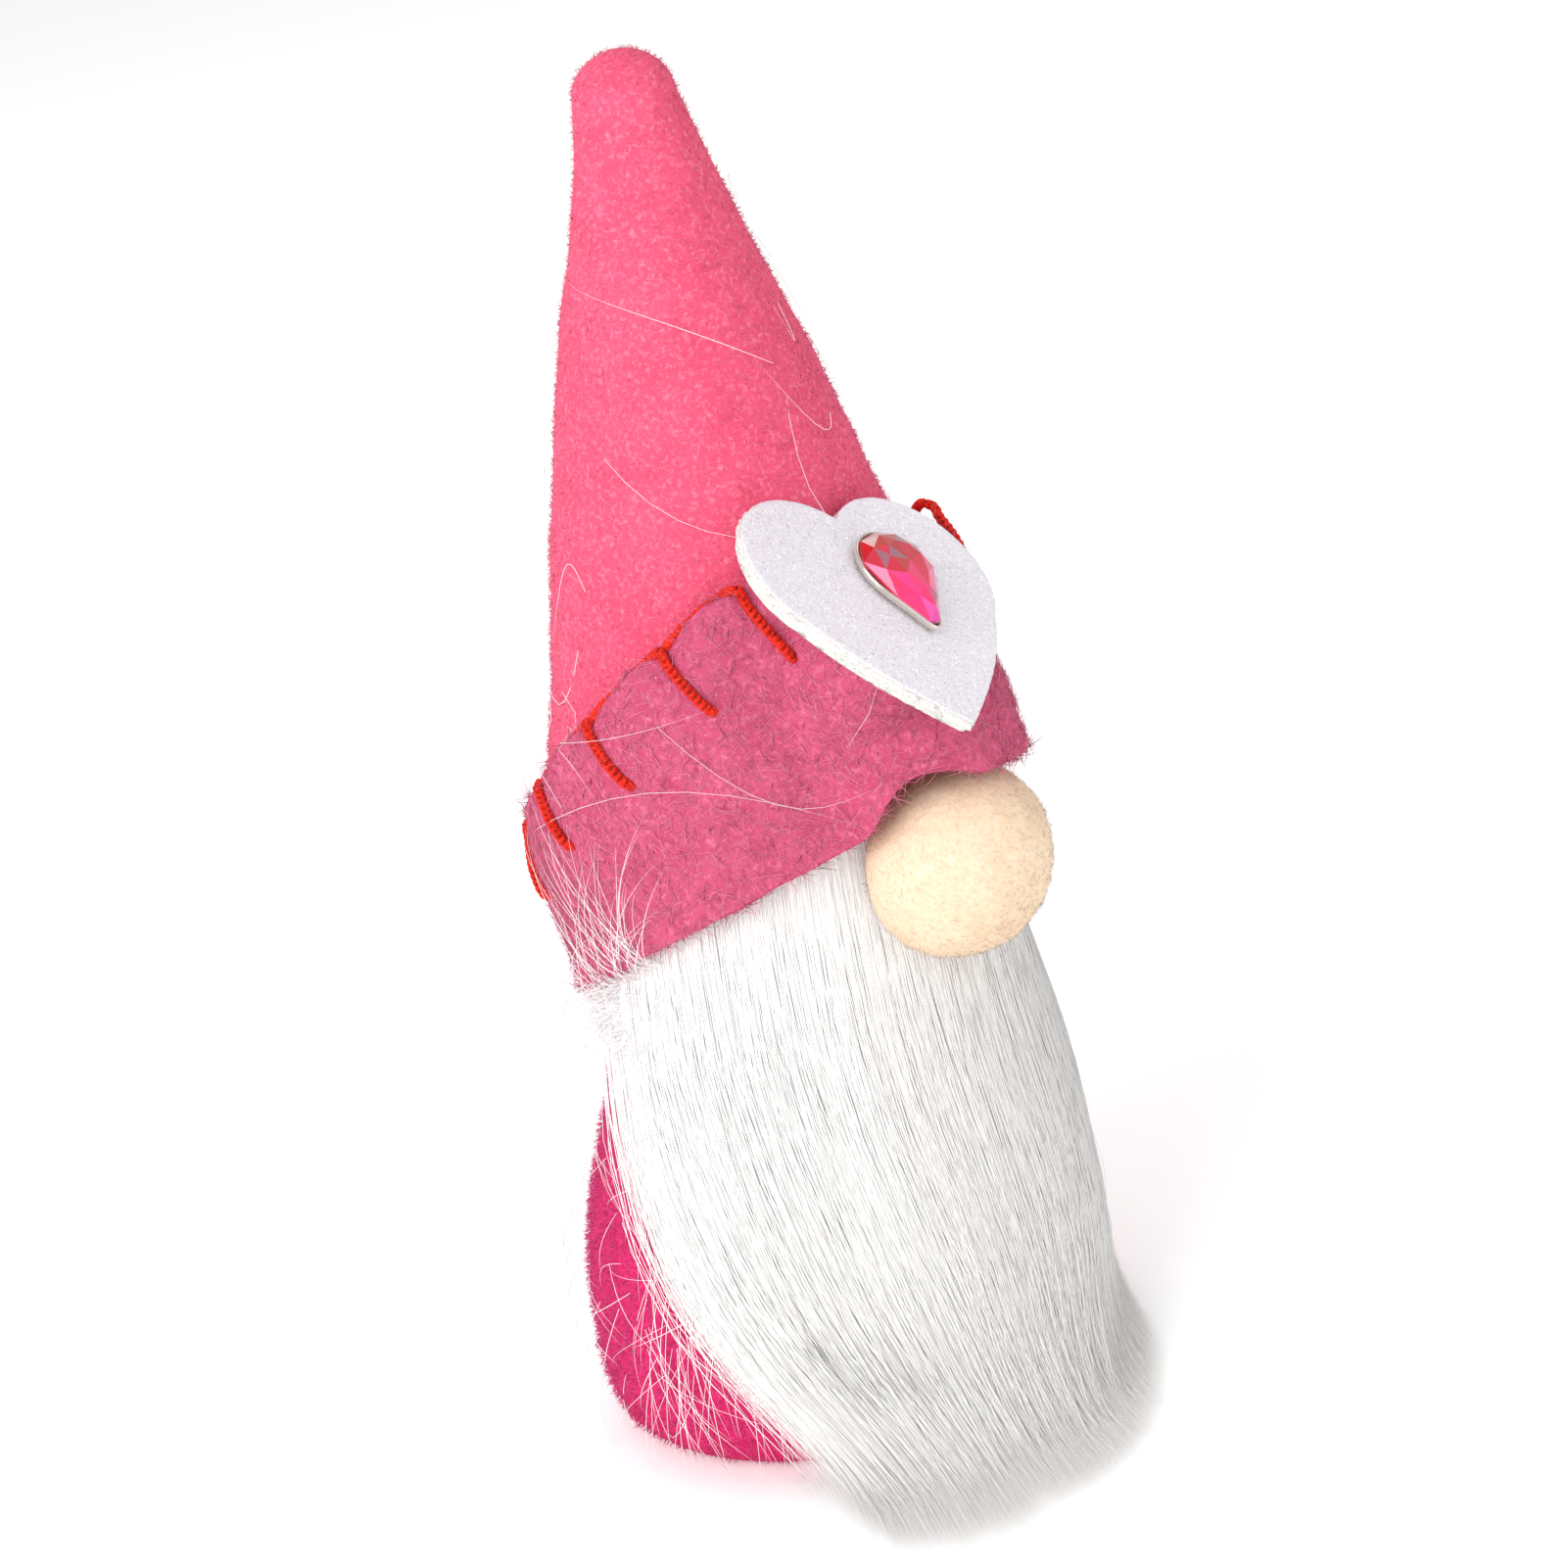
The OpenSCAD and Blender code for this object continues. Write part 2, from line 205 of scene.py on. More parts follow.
def grid_faces(rows, cols, wrap_rows=False, wrap_cols=False, start=0):
    """Four-sided faces between neighbouring points of a grid that is stored row after row."""
    i = np.arange(rows if wrap_rows else rows - 1)
    j = np.arange(cols if wrap_cols else cols - 1)
    a, b = np.meshgrid(i, j, indexing="ij")
    c, d = (a + 1) % rows, (b + 1) % cols
    return start + np.stack([a * cols + b, a * cols + d, c * cols + d, c * cols + b], -1).reshape(-1, 4)


def fan(ring, pole, flip=False):
    """Three-sided faces from a closed ring of point numbers to one pole."""
    ring = np.asarray(ring)
    nxt = np.roll(ring, -1)
    tri = np.stack([ring, nxt, np.full(len(ring), pole)], -1)
    return tri[:, ::-1] if flip else tri


def new_mesh(name, points, quads=None, tris=None, smooth_shade=True, tones=None, facing=None):
    """One mesh from points in millimetres and faces as point numbers; tones are named numbers per point,
    and facing is the shading direction of each point."""
    quads = np.zeros((0, 4), int) if quads is None else quads
    tris = np.zeros((0, 3), int) if tris is None else tris
    mesh = bpy.data.meshes.new(name)
    mesh.vertices.add(len(points))
    mesh.vertices.foreach_set("co", (np.asarray(points) * MM).astype(np.float32).ravel())
    corner = np.concatenate([quads.ravel(), tris.ravel()]).astype(np.int32)
    start = np.concatenate(
        [np.arange(len(quads)) * 4, quads.size + np.arange(len(tris)) * 3]
    ).astype(np.int32)
    mesh.loops.add(len(corner))
    mesh.loops.foreach_set("vertex_index", corner)
    mesh.polygons.add(len(start))
    mesh.polygons.foreach_set("loop_start", start)
    mesh.update(calc_edges=True)
    mesh.validate()
    mesh.polygons.foreach_set("use_smooth", np.full(len(start), smooth_shade))
    for key, values in (tones or {}).items():
        mesh.attributes.new(key, "FLOAT", "POINT").data.foreach_set(
            "value", np.asarray(values, np.float32).ravel()
        )
    if facing is not None:
        mesh.normals_split_custom_set_from_vertices(facing.astype(np.float32))
    return mesh


def outward(mesh):
    """Turns all faces of a closed mesh to the outside."""
    import bmesh

    bm = bmesh.new()
    bm.from_mesh(mesh)
    bmesh.ops.recalc_face_normals(bm, faces=bm.faces)
    bm.to_mesh(mesh)
    bm.free()


def piece(name, mesh, material, nodes=()):
    """A finished piece at the origin: rides on the body, takes its finish from a slot, stands for CAD
    nodes."""
    obj = bpy.data.objects.new(name, mesh)
    bpy.context.scene.collection.objects.link(obj)
    mesh.materials.clear()
    mesh.materials.append(material)
    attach(obj, "root")
    if nodes:
        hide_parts(*nodes)
    return obj


def revolved(profile_r, profile_z, turns, shift=None):
    """Surface of revolution from pole to pole. profile_r and profile_z run from one pole to the other;
    shift(points, phi, row) may move the points. Returns points, four-sided and three-sided faces."""
    phi = np.arange(turns) * TAU / turns
    r, z = np.asarray(profile_r, float), np.asarray(profile_z, float)
    grid = around(phi[None, :], r[1:-1, None], z[1:-1, None])
    if shift is not None:
        grid = shift(grid, phi)
    rows = len(r) - 2
    points = np.concatenate([grid.reshape(-1, 3), [[0, 0, z[0]], [0, 0, z[-1]]]])
    first, last = rows * turns, rows * turns + 1
    tris = np.concatenate(
        [fan(np.arange(turns), first, True), fan(np.arange(turns) + (rows - 1) * turns, last)]
    )
    return points, grid_faces(rows, turns, wrap_cols=True), tris


def tube(path, radius, sides=8):
    """Round tube along a path (n, 3) with a radius per point and closed ends. Rings stand square to the
    path."""
    path = np.asarray(path, float)
    n = len(path)
    along = unit(np.gradient(path, axis=0))
    ref = np.where(np.abs(along[:, 2:3]) > 0.9, [[1.0, 0, 0]], [[0, 0, 1.0]])
    u = unit(np.cross(along, ref))
    v = np.cross(along, u)
    a = np.arange(sides) * TAU / sides
    r = np.broadcast_to(np.asarray(radius, float), (n,))[:, None, None]
    ring = path[:, None] + r * (np.cos(a)[None, :, None] * u[:, None] + np.sin(a)[None, :, None] * v[:, None])
    points = np.concatenate([ring.reshape(-1, 3), path[:1], path[-1:]])
    tris = np.concatenate(
        [fan(np.arange(sides), n * sides, True), fan(np.arange(sides) + (n - 1) * sides, n * sides + 1)]
    )
    return points, grid_faces(n, sides, wrap_cols=True), tris


def joined(parts):
    """Several (points, quads, tris) as one."""
    points, quads, tris, count = [], [], [], 0
    for p, q, t in parts:
        points.append(p)
        quads.append(q + count)
        tris.append(t + count)
        count += len(p)
    return np.concatenate(points), np.concatenate(quads), np.concatenate(tris)


def strands(lines, width, tone, cloth_side, share_side=0.7):
    """Hairs with three sides that taper to a point. lines is (hairs, rings, 3), width the greatest width of
    each hair, tone a number per hair. Each ring is the middle point plus width/2 at three angles; the last
    point is the tip. The shading direction is mostly that of the cloth that the hair lies on, so that a
    mass of hairs reads as one pile."""
    hairs, rings = lines.shape[:2]
    along = unit(np.gradient(lines, axis=1))
    ref = np.where(np.abs(along[..., 2:3]) > 0.9, [1.0, 0, 0], [0, 0, 1.0])
    u = unit(np.cross(along, ref))
    v = np.cross(along, u)
    share = np.linspace(0, 1, rings)
    taper = (1 - share**3.0) * (0.75 + 0.25 * np.minimum(1, share * 6))
    r = width[:, None] / 2 * taper[None, :]
    a = np.arange(3) * TAU / 3
    out = np.cos(a)[None, None, :, None] * u[:, :-1, None] + np.sin(a)[None, None, :, None] * v[:, :-1, None]
    ring = lines[:, :-1, None] + r[:, :-1, None, None] * out
    cloth_side = np.broadcast_to(cloth_side, lines.shape)
    turn = unit(share_side * cloth_side[:, :-1, None] + (1 - share_side) * out)
    facing = np.concatenate([turn.reshape(hairs, -1, 3), cloth_side[:, -1:]], 1).reshape(-1, 3)
    per = (rings - 1) * 3 + 1
    points = np.concatenate([ring.reshape(hairs, -1, 3), lines[:, -1:]], 1)
    quads = grid_faces(rings - 1, 3, wrap_cols=True)
    last = (rings - 2) * 3
    tris = np.array(
        [[0, 2, 1], [last, last + 1, per - 1], [last + 1, last + 2, per - 1], [last + 2, last, per - 1]]
    )
    step = np.arange(hairs)[:, None, None] * per
    tones = {
        "tone": np.repeat(tone, per),
        "along": np.tile(np.concatenate([np.repeat(share[:-1], 3), [1.0]]), hairs),
    }
    return dict(
        points=points.reshape(-1, 3), quads=(quads[None] + step).reshape(-1, 4),
        tris=(tris[None] + step).reshape(-1, 3), tones=tones, facing=facing
    )


def pile_side(lines):
    """Shading direction of hair on the body: level and away from the leaning axis, turning upwards near the
    floor."""
    out = unit((lines - lean(lines[..., 2])) * np.array([1, 1, 0])) + np.array([0, 0, 0.12])
    flat = smooth(9, 1, lines[..., 2])[..., None]
    return unit(out * (1 - flat) + np.array([0, 0, 1.0]) * flat)


def scattered(obj, count, seed, keep=None):
    """Seeded points on an object's faces, spread by area: (points, normals) in millimetres. keep(points)
    masks them."""
    mesh = obj.data
    mesh.calc_loop_triangles()
    tri = np.empty(len(mesh.loop_triangles) * 3, np.int32)
    mesh.loop_triangles.foreach_get("vertices", tri)
    co = np.empty(len(mesh.vertices) * 3, np.float32)
    mesh.vertices.foreach_get("co", co)
    co = co.reshape(-1, 3).astype(float) / MM
    a, b, c = (co[tri.reshape(-1, 3)[:, k]] for k in range(3))
    cross = np.cross(b - a, c - a)
    area = np.linalg.norm(cross, axis=1) / 2
    if keep is not None:
        area = area * keep((a + b + c) / 3)
    rng = np.random.default_rng(seed)
    pick = rng.choice(len(area), count, p=area / area.sum())
    s, t = rng.random(count), rng.random(count)
    over = s + t > 1
    s[over], t[over] = 1 - s[over], 1 - t[over]
    points = a[pick] + s[:, None] * (b - a)[pick] + t[:, None] * (c - a)[pick]
    return points, unit(cross[pick])


def nap(points, normals, length, lie, curl, rings, seed, comb=(0, 0, 0)):
    """Short fibres: each leaves its root along the normal, leans by lie in a seeded direction plus comb,
    and bends sideways by curl towards the tip: root + length * (s n + lie s^1.5 d + curl s^2 e) with s from
    0 to 1."""
    rng = np.random.default_rng(seed)
    n = len(points)
    d = rng.normal(size=(n, 3)) + np.asarray(comb)
    d = unit(d - (d * normals).sum(-1, keepdims=True) * normals)
    e = np.cross(normals, d) * rng.choice([-1.0, 1.0], n)[:, None]
    s = np.linspace(0, 1, rings)[None, :, None]
    ln = (length * rng.uniform(0.55, 1.25, n))[:, None, None]
    lean = (lie * rng.uniform(0.4, 1.5, n))[:, None, None]
    bend = (curl * rng.uniform(0.2, 1.6, n))[:, None, None]
    up = 1 / np.sqrt(1 + lean**2)
    line = normals[:, None] * s * up + d[:, None] * lean * up * s**1.5 + e[:, None] * bend * s**2
    return points[:, None] - 0.15 * normals[:, None] + ln * line


# ---------------------------------------------------------------- materials


def shader(name):
    """An empty material and its node makers."""
    mat = bpy.data.materials.new(name)
    mat.use_nodes = True
    mat.node_tree.nodes.clear()
    return mat, mat.node_tree


def add(tree, kind, values=None, **props):
    """One node with its properties and socket values; a socket in values is linked, anything else is set."""
    n = tree.nodes.new(kind)
    for k, v in props.items():
        setattr(n, k, v)
    for k, v in (values or {}).items():
        if isinstance(v, bpy.types.NodeSocket):
            tree.links.new(v, n.inputs[k])
        else:
            n.inputs[k].default_value = v
    return n


def new_group(name, inputs, outputs):
    """An empty node group with named sockets: (name, kind, default)."""
    group = bpy.data.node_groups.new(name, "ShaderNodeTree")
    for key, kind, value in inputs:
        socket = group.interface.new_socket(key, in_out="INPUT", socket_type=kind)
        socket.default_value = value
    for key, kind in outputs:
        group.interface.new_socket(key, in_out="OUTPUT", socket_type=kind)
    return group, group.nodes.new("NodeGroupInput"), group.nodes.new("NodeGroupOutput")


COLOUR, NUMBER = "NodeSocketColor", "NodeSocketFloat"


def tint(r, g, b):
    """Display colour from 0 to 255 as the linear colour that shaders take."""
    c = np.array([r, g, b]) / 255
    lin = np.where(c <= 0.04045, c / 12.92, ((c + 0.055) / 1.055) ** 2.4)
    return (*[float(x) for x in lin], 1.0)


def make_cloth_tone():
    """Mottled cloth: broad patches between shade and base, fine flecks of light fibre, and a height for the
    bump."""
    group, i, o = new_group(
        "cloth_tone",
        [("Base", COLOUR, (1, 1, 1, 1)), ("Shade", COLOUR, (0, 0, 0, 1)), ("Light", COLOUR, (1, 1, 1, 1)),
         ("Patch scale", NUMBER, 120.0), ("Fleck scale", NUMBER, 1500.0), ("Patch share", NUMBER, 0.5)],
        [("Color", COLOUR), ("Height", NUMBER)],
    )
    place = add(group, "ShaderNodeTexCoord").outputs["Object"]
    broad = add(
        group, "ShaderNodeTexNoise",
        {"Vector": place, "Scale": i.outputs["Patch scale"], "Detail": 4.0, "Roughness": 0.6}
    )
    fine = add(
        group, "ShaderNodeTexNoise",
        {
            "Vector": place, "Scale": i.outputs["Fleck scale"], "Detail": 3.0, "Roughness": 0.7,
            "Distortion": 0.6
        }
    )
    patch = add(
        group, "ShaderNodeMapRange", {"Value": broad.outputs["Fac"], "From Min": 0.38, "From Max": 0.66}
    )
    part = add(
        group, "ShaderNodeMath", {0: patch.outputs[0], 1: i.outputs["Patch share"]}, operation="MULTIPLY"
    )
    mix_a = group.nodes.new("ShaderNodeMix")
    mix_a.data_type = "RGBA"
    group.links.new(part.outputs[0], mix_a.inputs[0])
    group.links.new(i.outputs["Base"], mix_a.inputs[6])
    group.links.new(i.outputs["Shade"], mix_a.inputs[7])
    fleck = add(
        group, "ShaderNodeMapRange", {"Value": fine.outputs["Fac"], "From Min": 0.5, "From Max": 0.78}
    )
    mix_b = group.nodes.new("ShaderNodeMix")
    mix_b.data_type = "RGBA"
    group.links.new(fleck.outputs[0], mix_b.inputs[0])
    group.links.new(mix_a.outputs[2], mix_b.inputs[6])
    group.links.new(i.outputs["Light"], mix_b.inputs[7])
    group.links.new(mix_b.outputs[2], o.inputs["Color"])
    group.links.new(fine.outputs["Fac"], o.inputs["Height"])
    return group


def make_fibre_tone():
    """Colour of loose fibres: root colour to tip colour along the fibre, pushed lighter or darker by its
    own tone."""
    group, i, o = new_group(
        "fibre_tone",
        [
            ("Root", COLOUR, (1, 1, 1, 1)), ("Tip", COLOUR, (1, 1, 1, 1)), ("Dark", COLOUR, (0, 0, 0, 1)),
            ("Spread", NUMBER, 0.3)
        ],
        [("Color", COLOUR)],
    )
    along = add(group, "ShaderNodeAttribute", attribute_name="along").outputs["Fac"]
    tone = add(group, "ShaderNodeAttribute", attribute_name="tone").outputs["Fac"]
    mix_a = group.nodes.new("ShaderNodeMix")
    mix_a.data_type = "RGBA"
    group.links.new(along, mix_a.inputs[0])
    group.links.new(i.outputs["Root"], mix_a.inputs[6])
    group.links.new(i.outputs["Tip"], mix_a.inputs[7])
    part = add(group, "ShaderNodeMath", {0: tone, 1: i.outputs["Spread"]}, operation="MULTIPLY")
    mix_b = group.nodes.new("ShaderNodeMix")
    mix_b.data_type = "RGBA"
    group.links.new(part.outputs[0], mix_b.inputs[0])
    group.links.new(mix_a.outputs[2], mix_b.inputs[6])
    group.links.new(i.outputs["Dark"], mix_b.inputs[7])
    group.links.new(mix_b.outputs[2], o.inputs["Color"])
    return group


cloth_tone = make_cloth_tone()
fibre_tone = make_fibre_tone()


def surface(tree, colour, rough=0.9, height=None, bump=0.4, depth=0.3, **fixed):
    """Principled surface with an optional bump of so many millimetres."""
    out = tree.nodes.new("ShaderNodeOutputMaterial")
    p = tree.nodes.new("ShaderNodeBsdfPrincipled")
    if isinstance(colour, bpy.types.NodeSocket):
        tree.links.new(colour, p.inputs["Base Color"])
    else:
        p.inputs["Base Color"].default_value = colour
    if isinstance(rough, bpy.types.NodeSocket):
        tree.links.new(rough, p.inputs["Roughness"])
    else:
        p.inputs["Roughness"].default_value = rough
    if height is not None:
        b = add(tree, "ShaderNodeBump", {"Strength": bump, "Distance": depth * MM, "Height": height})
        tree.links.new(b.outputs["Normal"], p.inputs["Normal"])
    for k, v in fixed.items():
        p.inputs[k.replace("_", " ")].default_value = v
    tree.links.new(p.outputs["BSDF"], out.inputs["Surface"])
    return p


def cloth(
    name, base, shade, light, patch=120.0, fleck=1500.0, share=0.5, rough=0.95, bump=0.5, depth=0.3, **fixed
):
    """A pile or felt cloth from the shared cloth tone."""
    mat, tree = shader(name)
    g = tree.nodes.new("ShaderNodeGroup")
    g.node_tree = cloth_tone
    for key, value in (
        ("Base", base), ("Shade", shade), ("Light", light), ("Patch scale", patch), ("Fleck scale", fleck),
        ("Patch share", share)
    ):
        g.inputs[key].default_value = value
    surface(
        tree, g.outputs["Color"], rough, g.outputs["Height"], bump, depth, Specular_IOR_Level=0.2, **fixed
    )
    return mat


def fibre(name, root, tip, dark, spread=0.35, rough=0.6, **fixed):
    """Loose fibres from the shared fibre tone."""
    mat, tree = shader(name)
    g = tree.nodes.new("ShaderNodeGroup")
    g.node_tree = fibre_tone
    for key, value in (("Root", root), ("Tip", tip), ("Dark", dark), ("Spread", spread)):
        g.inputs[key].default_value = value
    surface(tree, g.outputs["Color"], rough, **fixed)
    return mat


plush_cloth = cloth(
    "plush_cloth", tint(214, 38, 104), tint(178, 22, 80), tint(236, 84, 146), patch=90, fleck=1700,
    share=0.6
)
plush_pile = fibre(
    "plush_pile", tint(206, 34, 98), tint(240, 84, 150), tint(168, 16, 74), 0.5, 0.7,
    Specular_IOR_Level=0.25
)
hat_fleece = cloth(
    "hat_fleece", tint(234, 88, 122), tint(210, 70, 102), tint(250, 140, 164), patch=150, fleck=1500,
    share=0.5
)
fleece_pile = fibre(
    "fleece_pile", tint(232, 84, 120), tint(250, 132, 158), tint(194, 62, 94), 0.45, 0.75,
    Specular_IOR_Level=0.2
)
brim_felt = cloth(
    "brim_felt", tint(204, 84, 120), tint(180, 62, 98), tint(232, 128, 158), patch=160, fleck=1200,
    share=0.5, depth=0.45
)
felt_fibre = fibre(
    "felt_fibre", tint(212, 92, 126), tint(240, 146, 172), tint(160, 48, 84), 0.75, 0.75,
    Specular_IOR_Level=0.2
)
ball_felt = cloth(
    "ball_felt", tint(244, 218, 188), tint(238, 202, 166), tint(250, 230, 208), patch=70, fleck=900,
    share=0.7
)
ball_fibre = fibre(
    "ball_fibre", tint(246, 220, 192), tint(252, 234, 216), tint(236, 200, 166), 0.4, 0.8,
    Specular_IOR_Level=0.2
)
fur_under = cloth(
    "fur_under", tint(244, 243, 242), tint(226, 224, 222), tint(250, 250, 249), patch=60, fleck=500,
    share=0.6
)
# The faint warm-white emission on the beard hair is painted light: a glow that stands in for light shining
# through the hair.
fur_hair = fibre(
    "fur_hair", tint(252, 251, 249), tint(255, 254, 252), tint(242, 238, 235), 0.6, 0.55,
    Specular_IOR_Level=0.3, Emission_Color=(1.0, 0.985, 0.97, 1), Emission_Strength=0.05,
)
stray_hair = fibre(
    "stray_hair", tint(253, 247, 248), tint(255, 252, 252), tint(248, 236, 239), 0.4, 0.4,
    Specular_IOR_Level=0.5
)
red_yarn = cloth(
    "red_yarn", tint(222, 40, 26), tint(176, 22, 14), tint(240, 84, 60), patch=500, fleck=2600, share=0.5,
    rough=0.8, bump=0.4, depth=0.15
)
set_glue = cloth(
    "set_glue", tint(238, 232, 212), tint(226, 216, 190), tint(246, 242, 228), patch=150, fleck=600,
    rough=0.35, bump=0.1
)


def make_glitter():
    """Fine glitter: Voronoi cells as flakes, each with its own brightness, tilt and gloss, on a pale
    ground."""
    mat, tree = shader("heart_glitter")
    place = add(tree, "ShaderNodeTexCoord").outputs["Object"]
    cells = add(tree, "ShaderNodeTexVoronoi", {"Vector": place, "Scale": 3600.0})
    split = add(tree, "ShaderNodeSeparateColor", {"Color": cells.outputs["Color"]})
    ramp = tree.nodes.new("ShaderNodeValToRGB")
    ramp.color_ramp.interpolation = "CONSTANT"
    ramp.color_ramp.elements[0].color = tint(236, 230, 238)
    ramp.color_ramp.elements[1].position = 0.35
    ramp.color_ramp.elements[1].color = tint(240, 235, 242)
    for position, c in (
        (0.6, tint(245, 241, 247)), (0.76, tint(230, 224, 233)), (0.88, tint(255, 255, 255)),
        (0.95, tint(220, 224, 236)), (0.975, tint(246, 224, 238))
    ):
        ramp.color_ramp.elements.new(position).color = c
    tree.links.new(split.outputs[0], ramp.inputs[0])
    spark = add(
        tree, "ShaderNodeMapRange",
        {"Value": split.outputs[1], "From Min": 0.93, "From Max": 0.95, "To Max": 0.5}
    )
    rough = add(
        tree, "ShaderNodeMapRange",
        {"Value": split.outputs[1], "From Min": 0.0, "From Max": 1.0, "To Min": 0.55, "To Max": 0.22}
    )
    p = surface(
        tree, ramp.outputs[0], rough.outputs[0], cells.outputs["Distance"], 0.6, 0.12,
        Specular_IOR_Level=0.6
    )
    tree.links.new(spark.outputs[0], p.inputs["Metallic"])
    return mat


def make_facets():
    """Foil-backed clear stone: every facet has a hue number, spread over reds, pinks and smoky rose."""
    mat, tree = shader("drop_stone")
    hue = add(tree, "ShaderNodeAttribute", attribute_name="facet").outputs["Fac"]
    ramp = tree.nodes.new("ShaderNodeValToRGB")
    ramp.color_ramp.interpolation = "LINEAR"
    ramp.color_ramp.elements[0].color = tint(130, 20, 18)
    ramp.color_ramp.elements[1].color = tint(236, 176, 186)
    for position, c in (
        (0.2, tint(190, 32, 28)), (0.4, tint(226, 24, 74)), (0.58, tint(248, 58, 130)),
        (0.72, tint(224, 40, 160)), (0.86, tint(140, 84, 92))
    ):
        ramp.color_ramp.elements.new(position).color = c
    tree.links.new(hue, ramp.inputs[0])
    place = add(tree, "ShaderNodeTexCoord").outputs["Object"]
    cloud = add(tree, "ShaderNodeTexNoise", {"Vector": place, "Scale": 260.0, "Detail": 2.0})
    veil = tree.nodes.new("ShaderNodeMix")
    veil.data_type = "RGBA"
    veil.blend_type = "SOFT_LIGHT"
    veil.inputs[0].default_value = 0.6
    tree.links.new(ramp.outputs[0], veil.inputs[6])
    tree.links.new(cloud.outputs["Color"], veil.inputs[7])
    surface(
        tree, veil.outputs[2], 0.12, Metallic=0.15, Specular_IOR_Level=0.6, Coat_Weight=0.6,
        Coat_Roughness=0.02
    )
    return mat


def make_metal(name, colour, rough):
    """Thin bright foil with a faint waviness."""
    mat, tree = shader(name)
    place = add(tree, "ShaderNodeTexCoord").outputs["Object"]
    wave = add(tree, "ShaderNodeTexNoise", {"Vector": place, "Scale": 300.0, "Detail": 2.0})
    worn = add(
        tree, "ShaderNodeMapRange",
        {"Value": wave.outputs["Fac"], "To Min": rough * 0.7, "To Max": rough * 1.5}
    )
    surface(tree, colour, worn.outputs[0], wave.outputs["Fac"], 0.2, 0.05, Metallic=1.0)
    return mat


heart_glitter = make_glitter()
drop_stone = make_facets()
silver_foil = make_metal("silver_foil", tint(222, 214, 206), 0.16)
foam_edge = cloth(
    "foam_edge", tint(246, 243, 238), tint(234, 228, 218), tint(252, 251, 248), patch=400, fleck=2200,
    rough=0.8, bump=0.9, depth=0.5
)
inner_fill = cloth(
    "inner_fill", tint(242, 241, 238), tint(224, 222, 218), tint(250, 250, 248), patch=200, fleck=700
)
inner_board = cloth(
    "inner_board", tint(150, 128, 96), tint(132, 110, 80), tint(168, 148, 116), patch=80, fleck=900,
    bump=0.2
)
inner_sand = cloth(
    "inner_sand", tint(194, 172, 130), tint(168, 144, 104), tint(220, 204, 168), patch=300, fleck=2600
)
inner_thread = cloth(
    "inner_thread", tint(196, 30, 88), tint(160, 20, 70), tint(226, 70, 126), patch=400, fleck=2400
)

for node_name, finish in {
    "base_board": inner_board, "weight_pouch": inner_fill, "weight_sand": inner_sand,
    "body_stuffing": inner_fill,
    "sack_tie": inner_thread, "nose_glue": set_glue, "hat_seam_allowance": hat_fleece,
    "hat_stuffing": inner_fill,
    "hat_glue_bead": set_glue, "heart_glue": set_glue, "gem_glue": set_glue,
}.items():
    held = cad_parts[node_name]
    held.data.materials.clear()
    held.data.materials.append(finish)


# ---------------------------------------------------------------- camera, light and floor


def place_camera():
    """Looks at the body axis from the gnome's right front, a little from above, and rolled so that the hat
    leans left."""
    azimuth, elevation, roll, distance, aim = deg(-42.0), deg(20.0), deg(11.85), 0.7, Vector((0, 0, 0.08))
    back = Vector(
        (
            math.sin(azimuth) * math.cos(elevation), -math.cos(azimuth) * math.cos(elevation),
            math.sin(elevation)
        )
    )
    right = (-back).cross(Vector((0, 0, 1))).normalized()
    up = right.cross(-back)
    turned = right * math.cos(roll) - up * math.sin(roll), right * math.sin(roll) + up * math.cos(roll)
    data = bpy.data.cameras.new("camera")
    data.lens, data.sensor_width = 123.9, 36.0
    data.shift_x, data.shift_y = 0.007, 0.0094
    data.clip_start, data.clip_end = 0.05, 10.0
    cam = bpy.data.objects.new("camera", data)
    cam.matrix_world = Matrix(
        [[turned[0][k], turned[1][k], back[k], (aim + back * distance)[k]] for k in range(3)] + [[0, 0, 0, 1]]
    )
    bpy.context.scene.collection.objects.link(cam)
    bpy.context.scene.camera = cam


def soft_lamp(name, at, size, power, aim=(0, 0, 0.08)):
    """A square soft box that faces the figurine."""
    data = bpy.data.lights.new(name, "AREA")
    data.size, data.energy = size, power
    lamp = bpy.data.objects.new(name, data)
    lamp.location = at
    lamp.rotation_mode = "QUATERNION"
    lamp.rotation_quaternion = (Vector(at) - Vector(aim)).to_track_quat("Z", "Y")
    bpy.context.scene.collection.objects.link(lamp)


def studio():
    """White room light, a large soft box from the left, a weaker one from the right and a plain pale
    floor."""
    world = bpy.data.worlds.new("studio")
    bpy.context.scene.world = world
    world.use_nodes = True
    world.node_tree.nodes["Background"].inputs["Color"].default_value = (1, 1, 1, 1)
    world.node_tree.nodes["Background"].inputs["Strength"].default_value = 0.72
    soft_lamp("window_left", (-0.85, -0.15, 0.55), 0.7, 6.5)
    soft_lamp("front_fill", (0.2, -0.9, 0.45), 0.6, 1.1)
    soft_lamp("top_back", (0.3, 0.5, 0.8), 0.6, 2.0)
    mat, tree = shader("studio_floor")
    surface(tree, (0.93, 0.93, 0.93, 1), 0.9, Emission_Color=(1, 1, 1, 1), Emission_Strength=0.16)
    half = 2500.0
    mesh = new_mesh(
        "floor",
        np.array([[-half, -half, -0.3], [half, -half, -0.3], [half, half, -0.3], [-half, half, -0.3]]),
        np.array([[0, 1, 2, 3]])
    )
    mesh.materials.append(mat)
    floor = bpy.data.objects.new("floor", mesh)
    bpy.context.scene.collection.objects.link(floor)
    bpy.context.scene.view_settings.view_transform = "Standard"


place_camera()
studio()


# ---------------------------------------------------------------- plush body


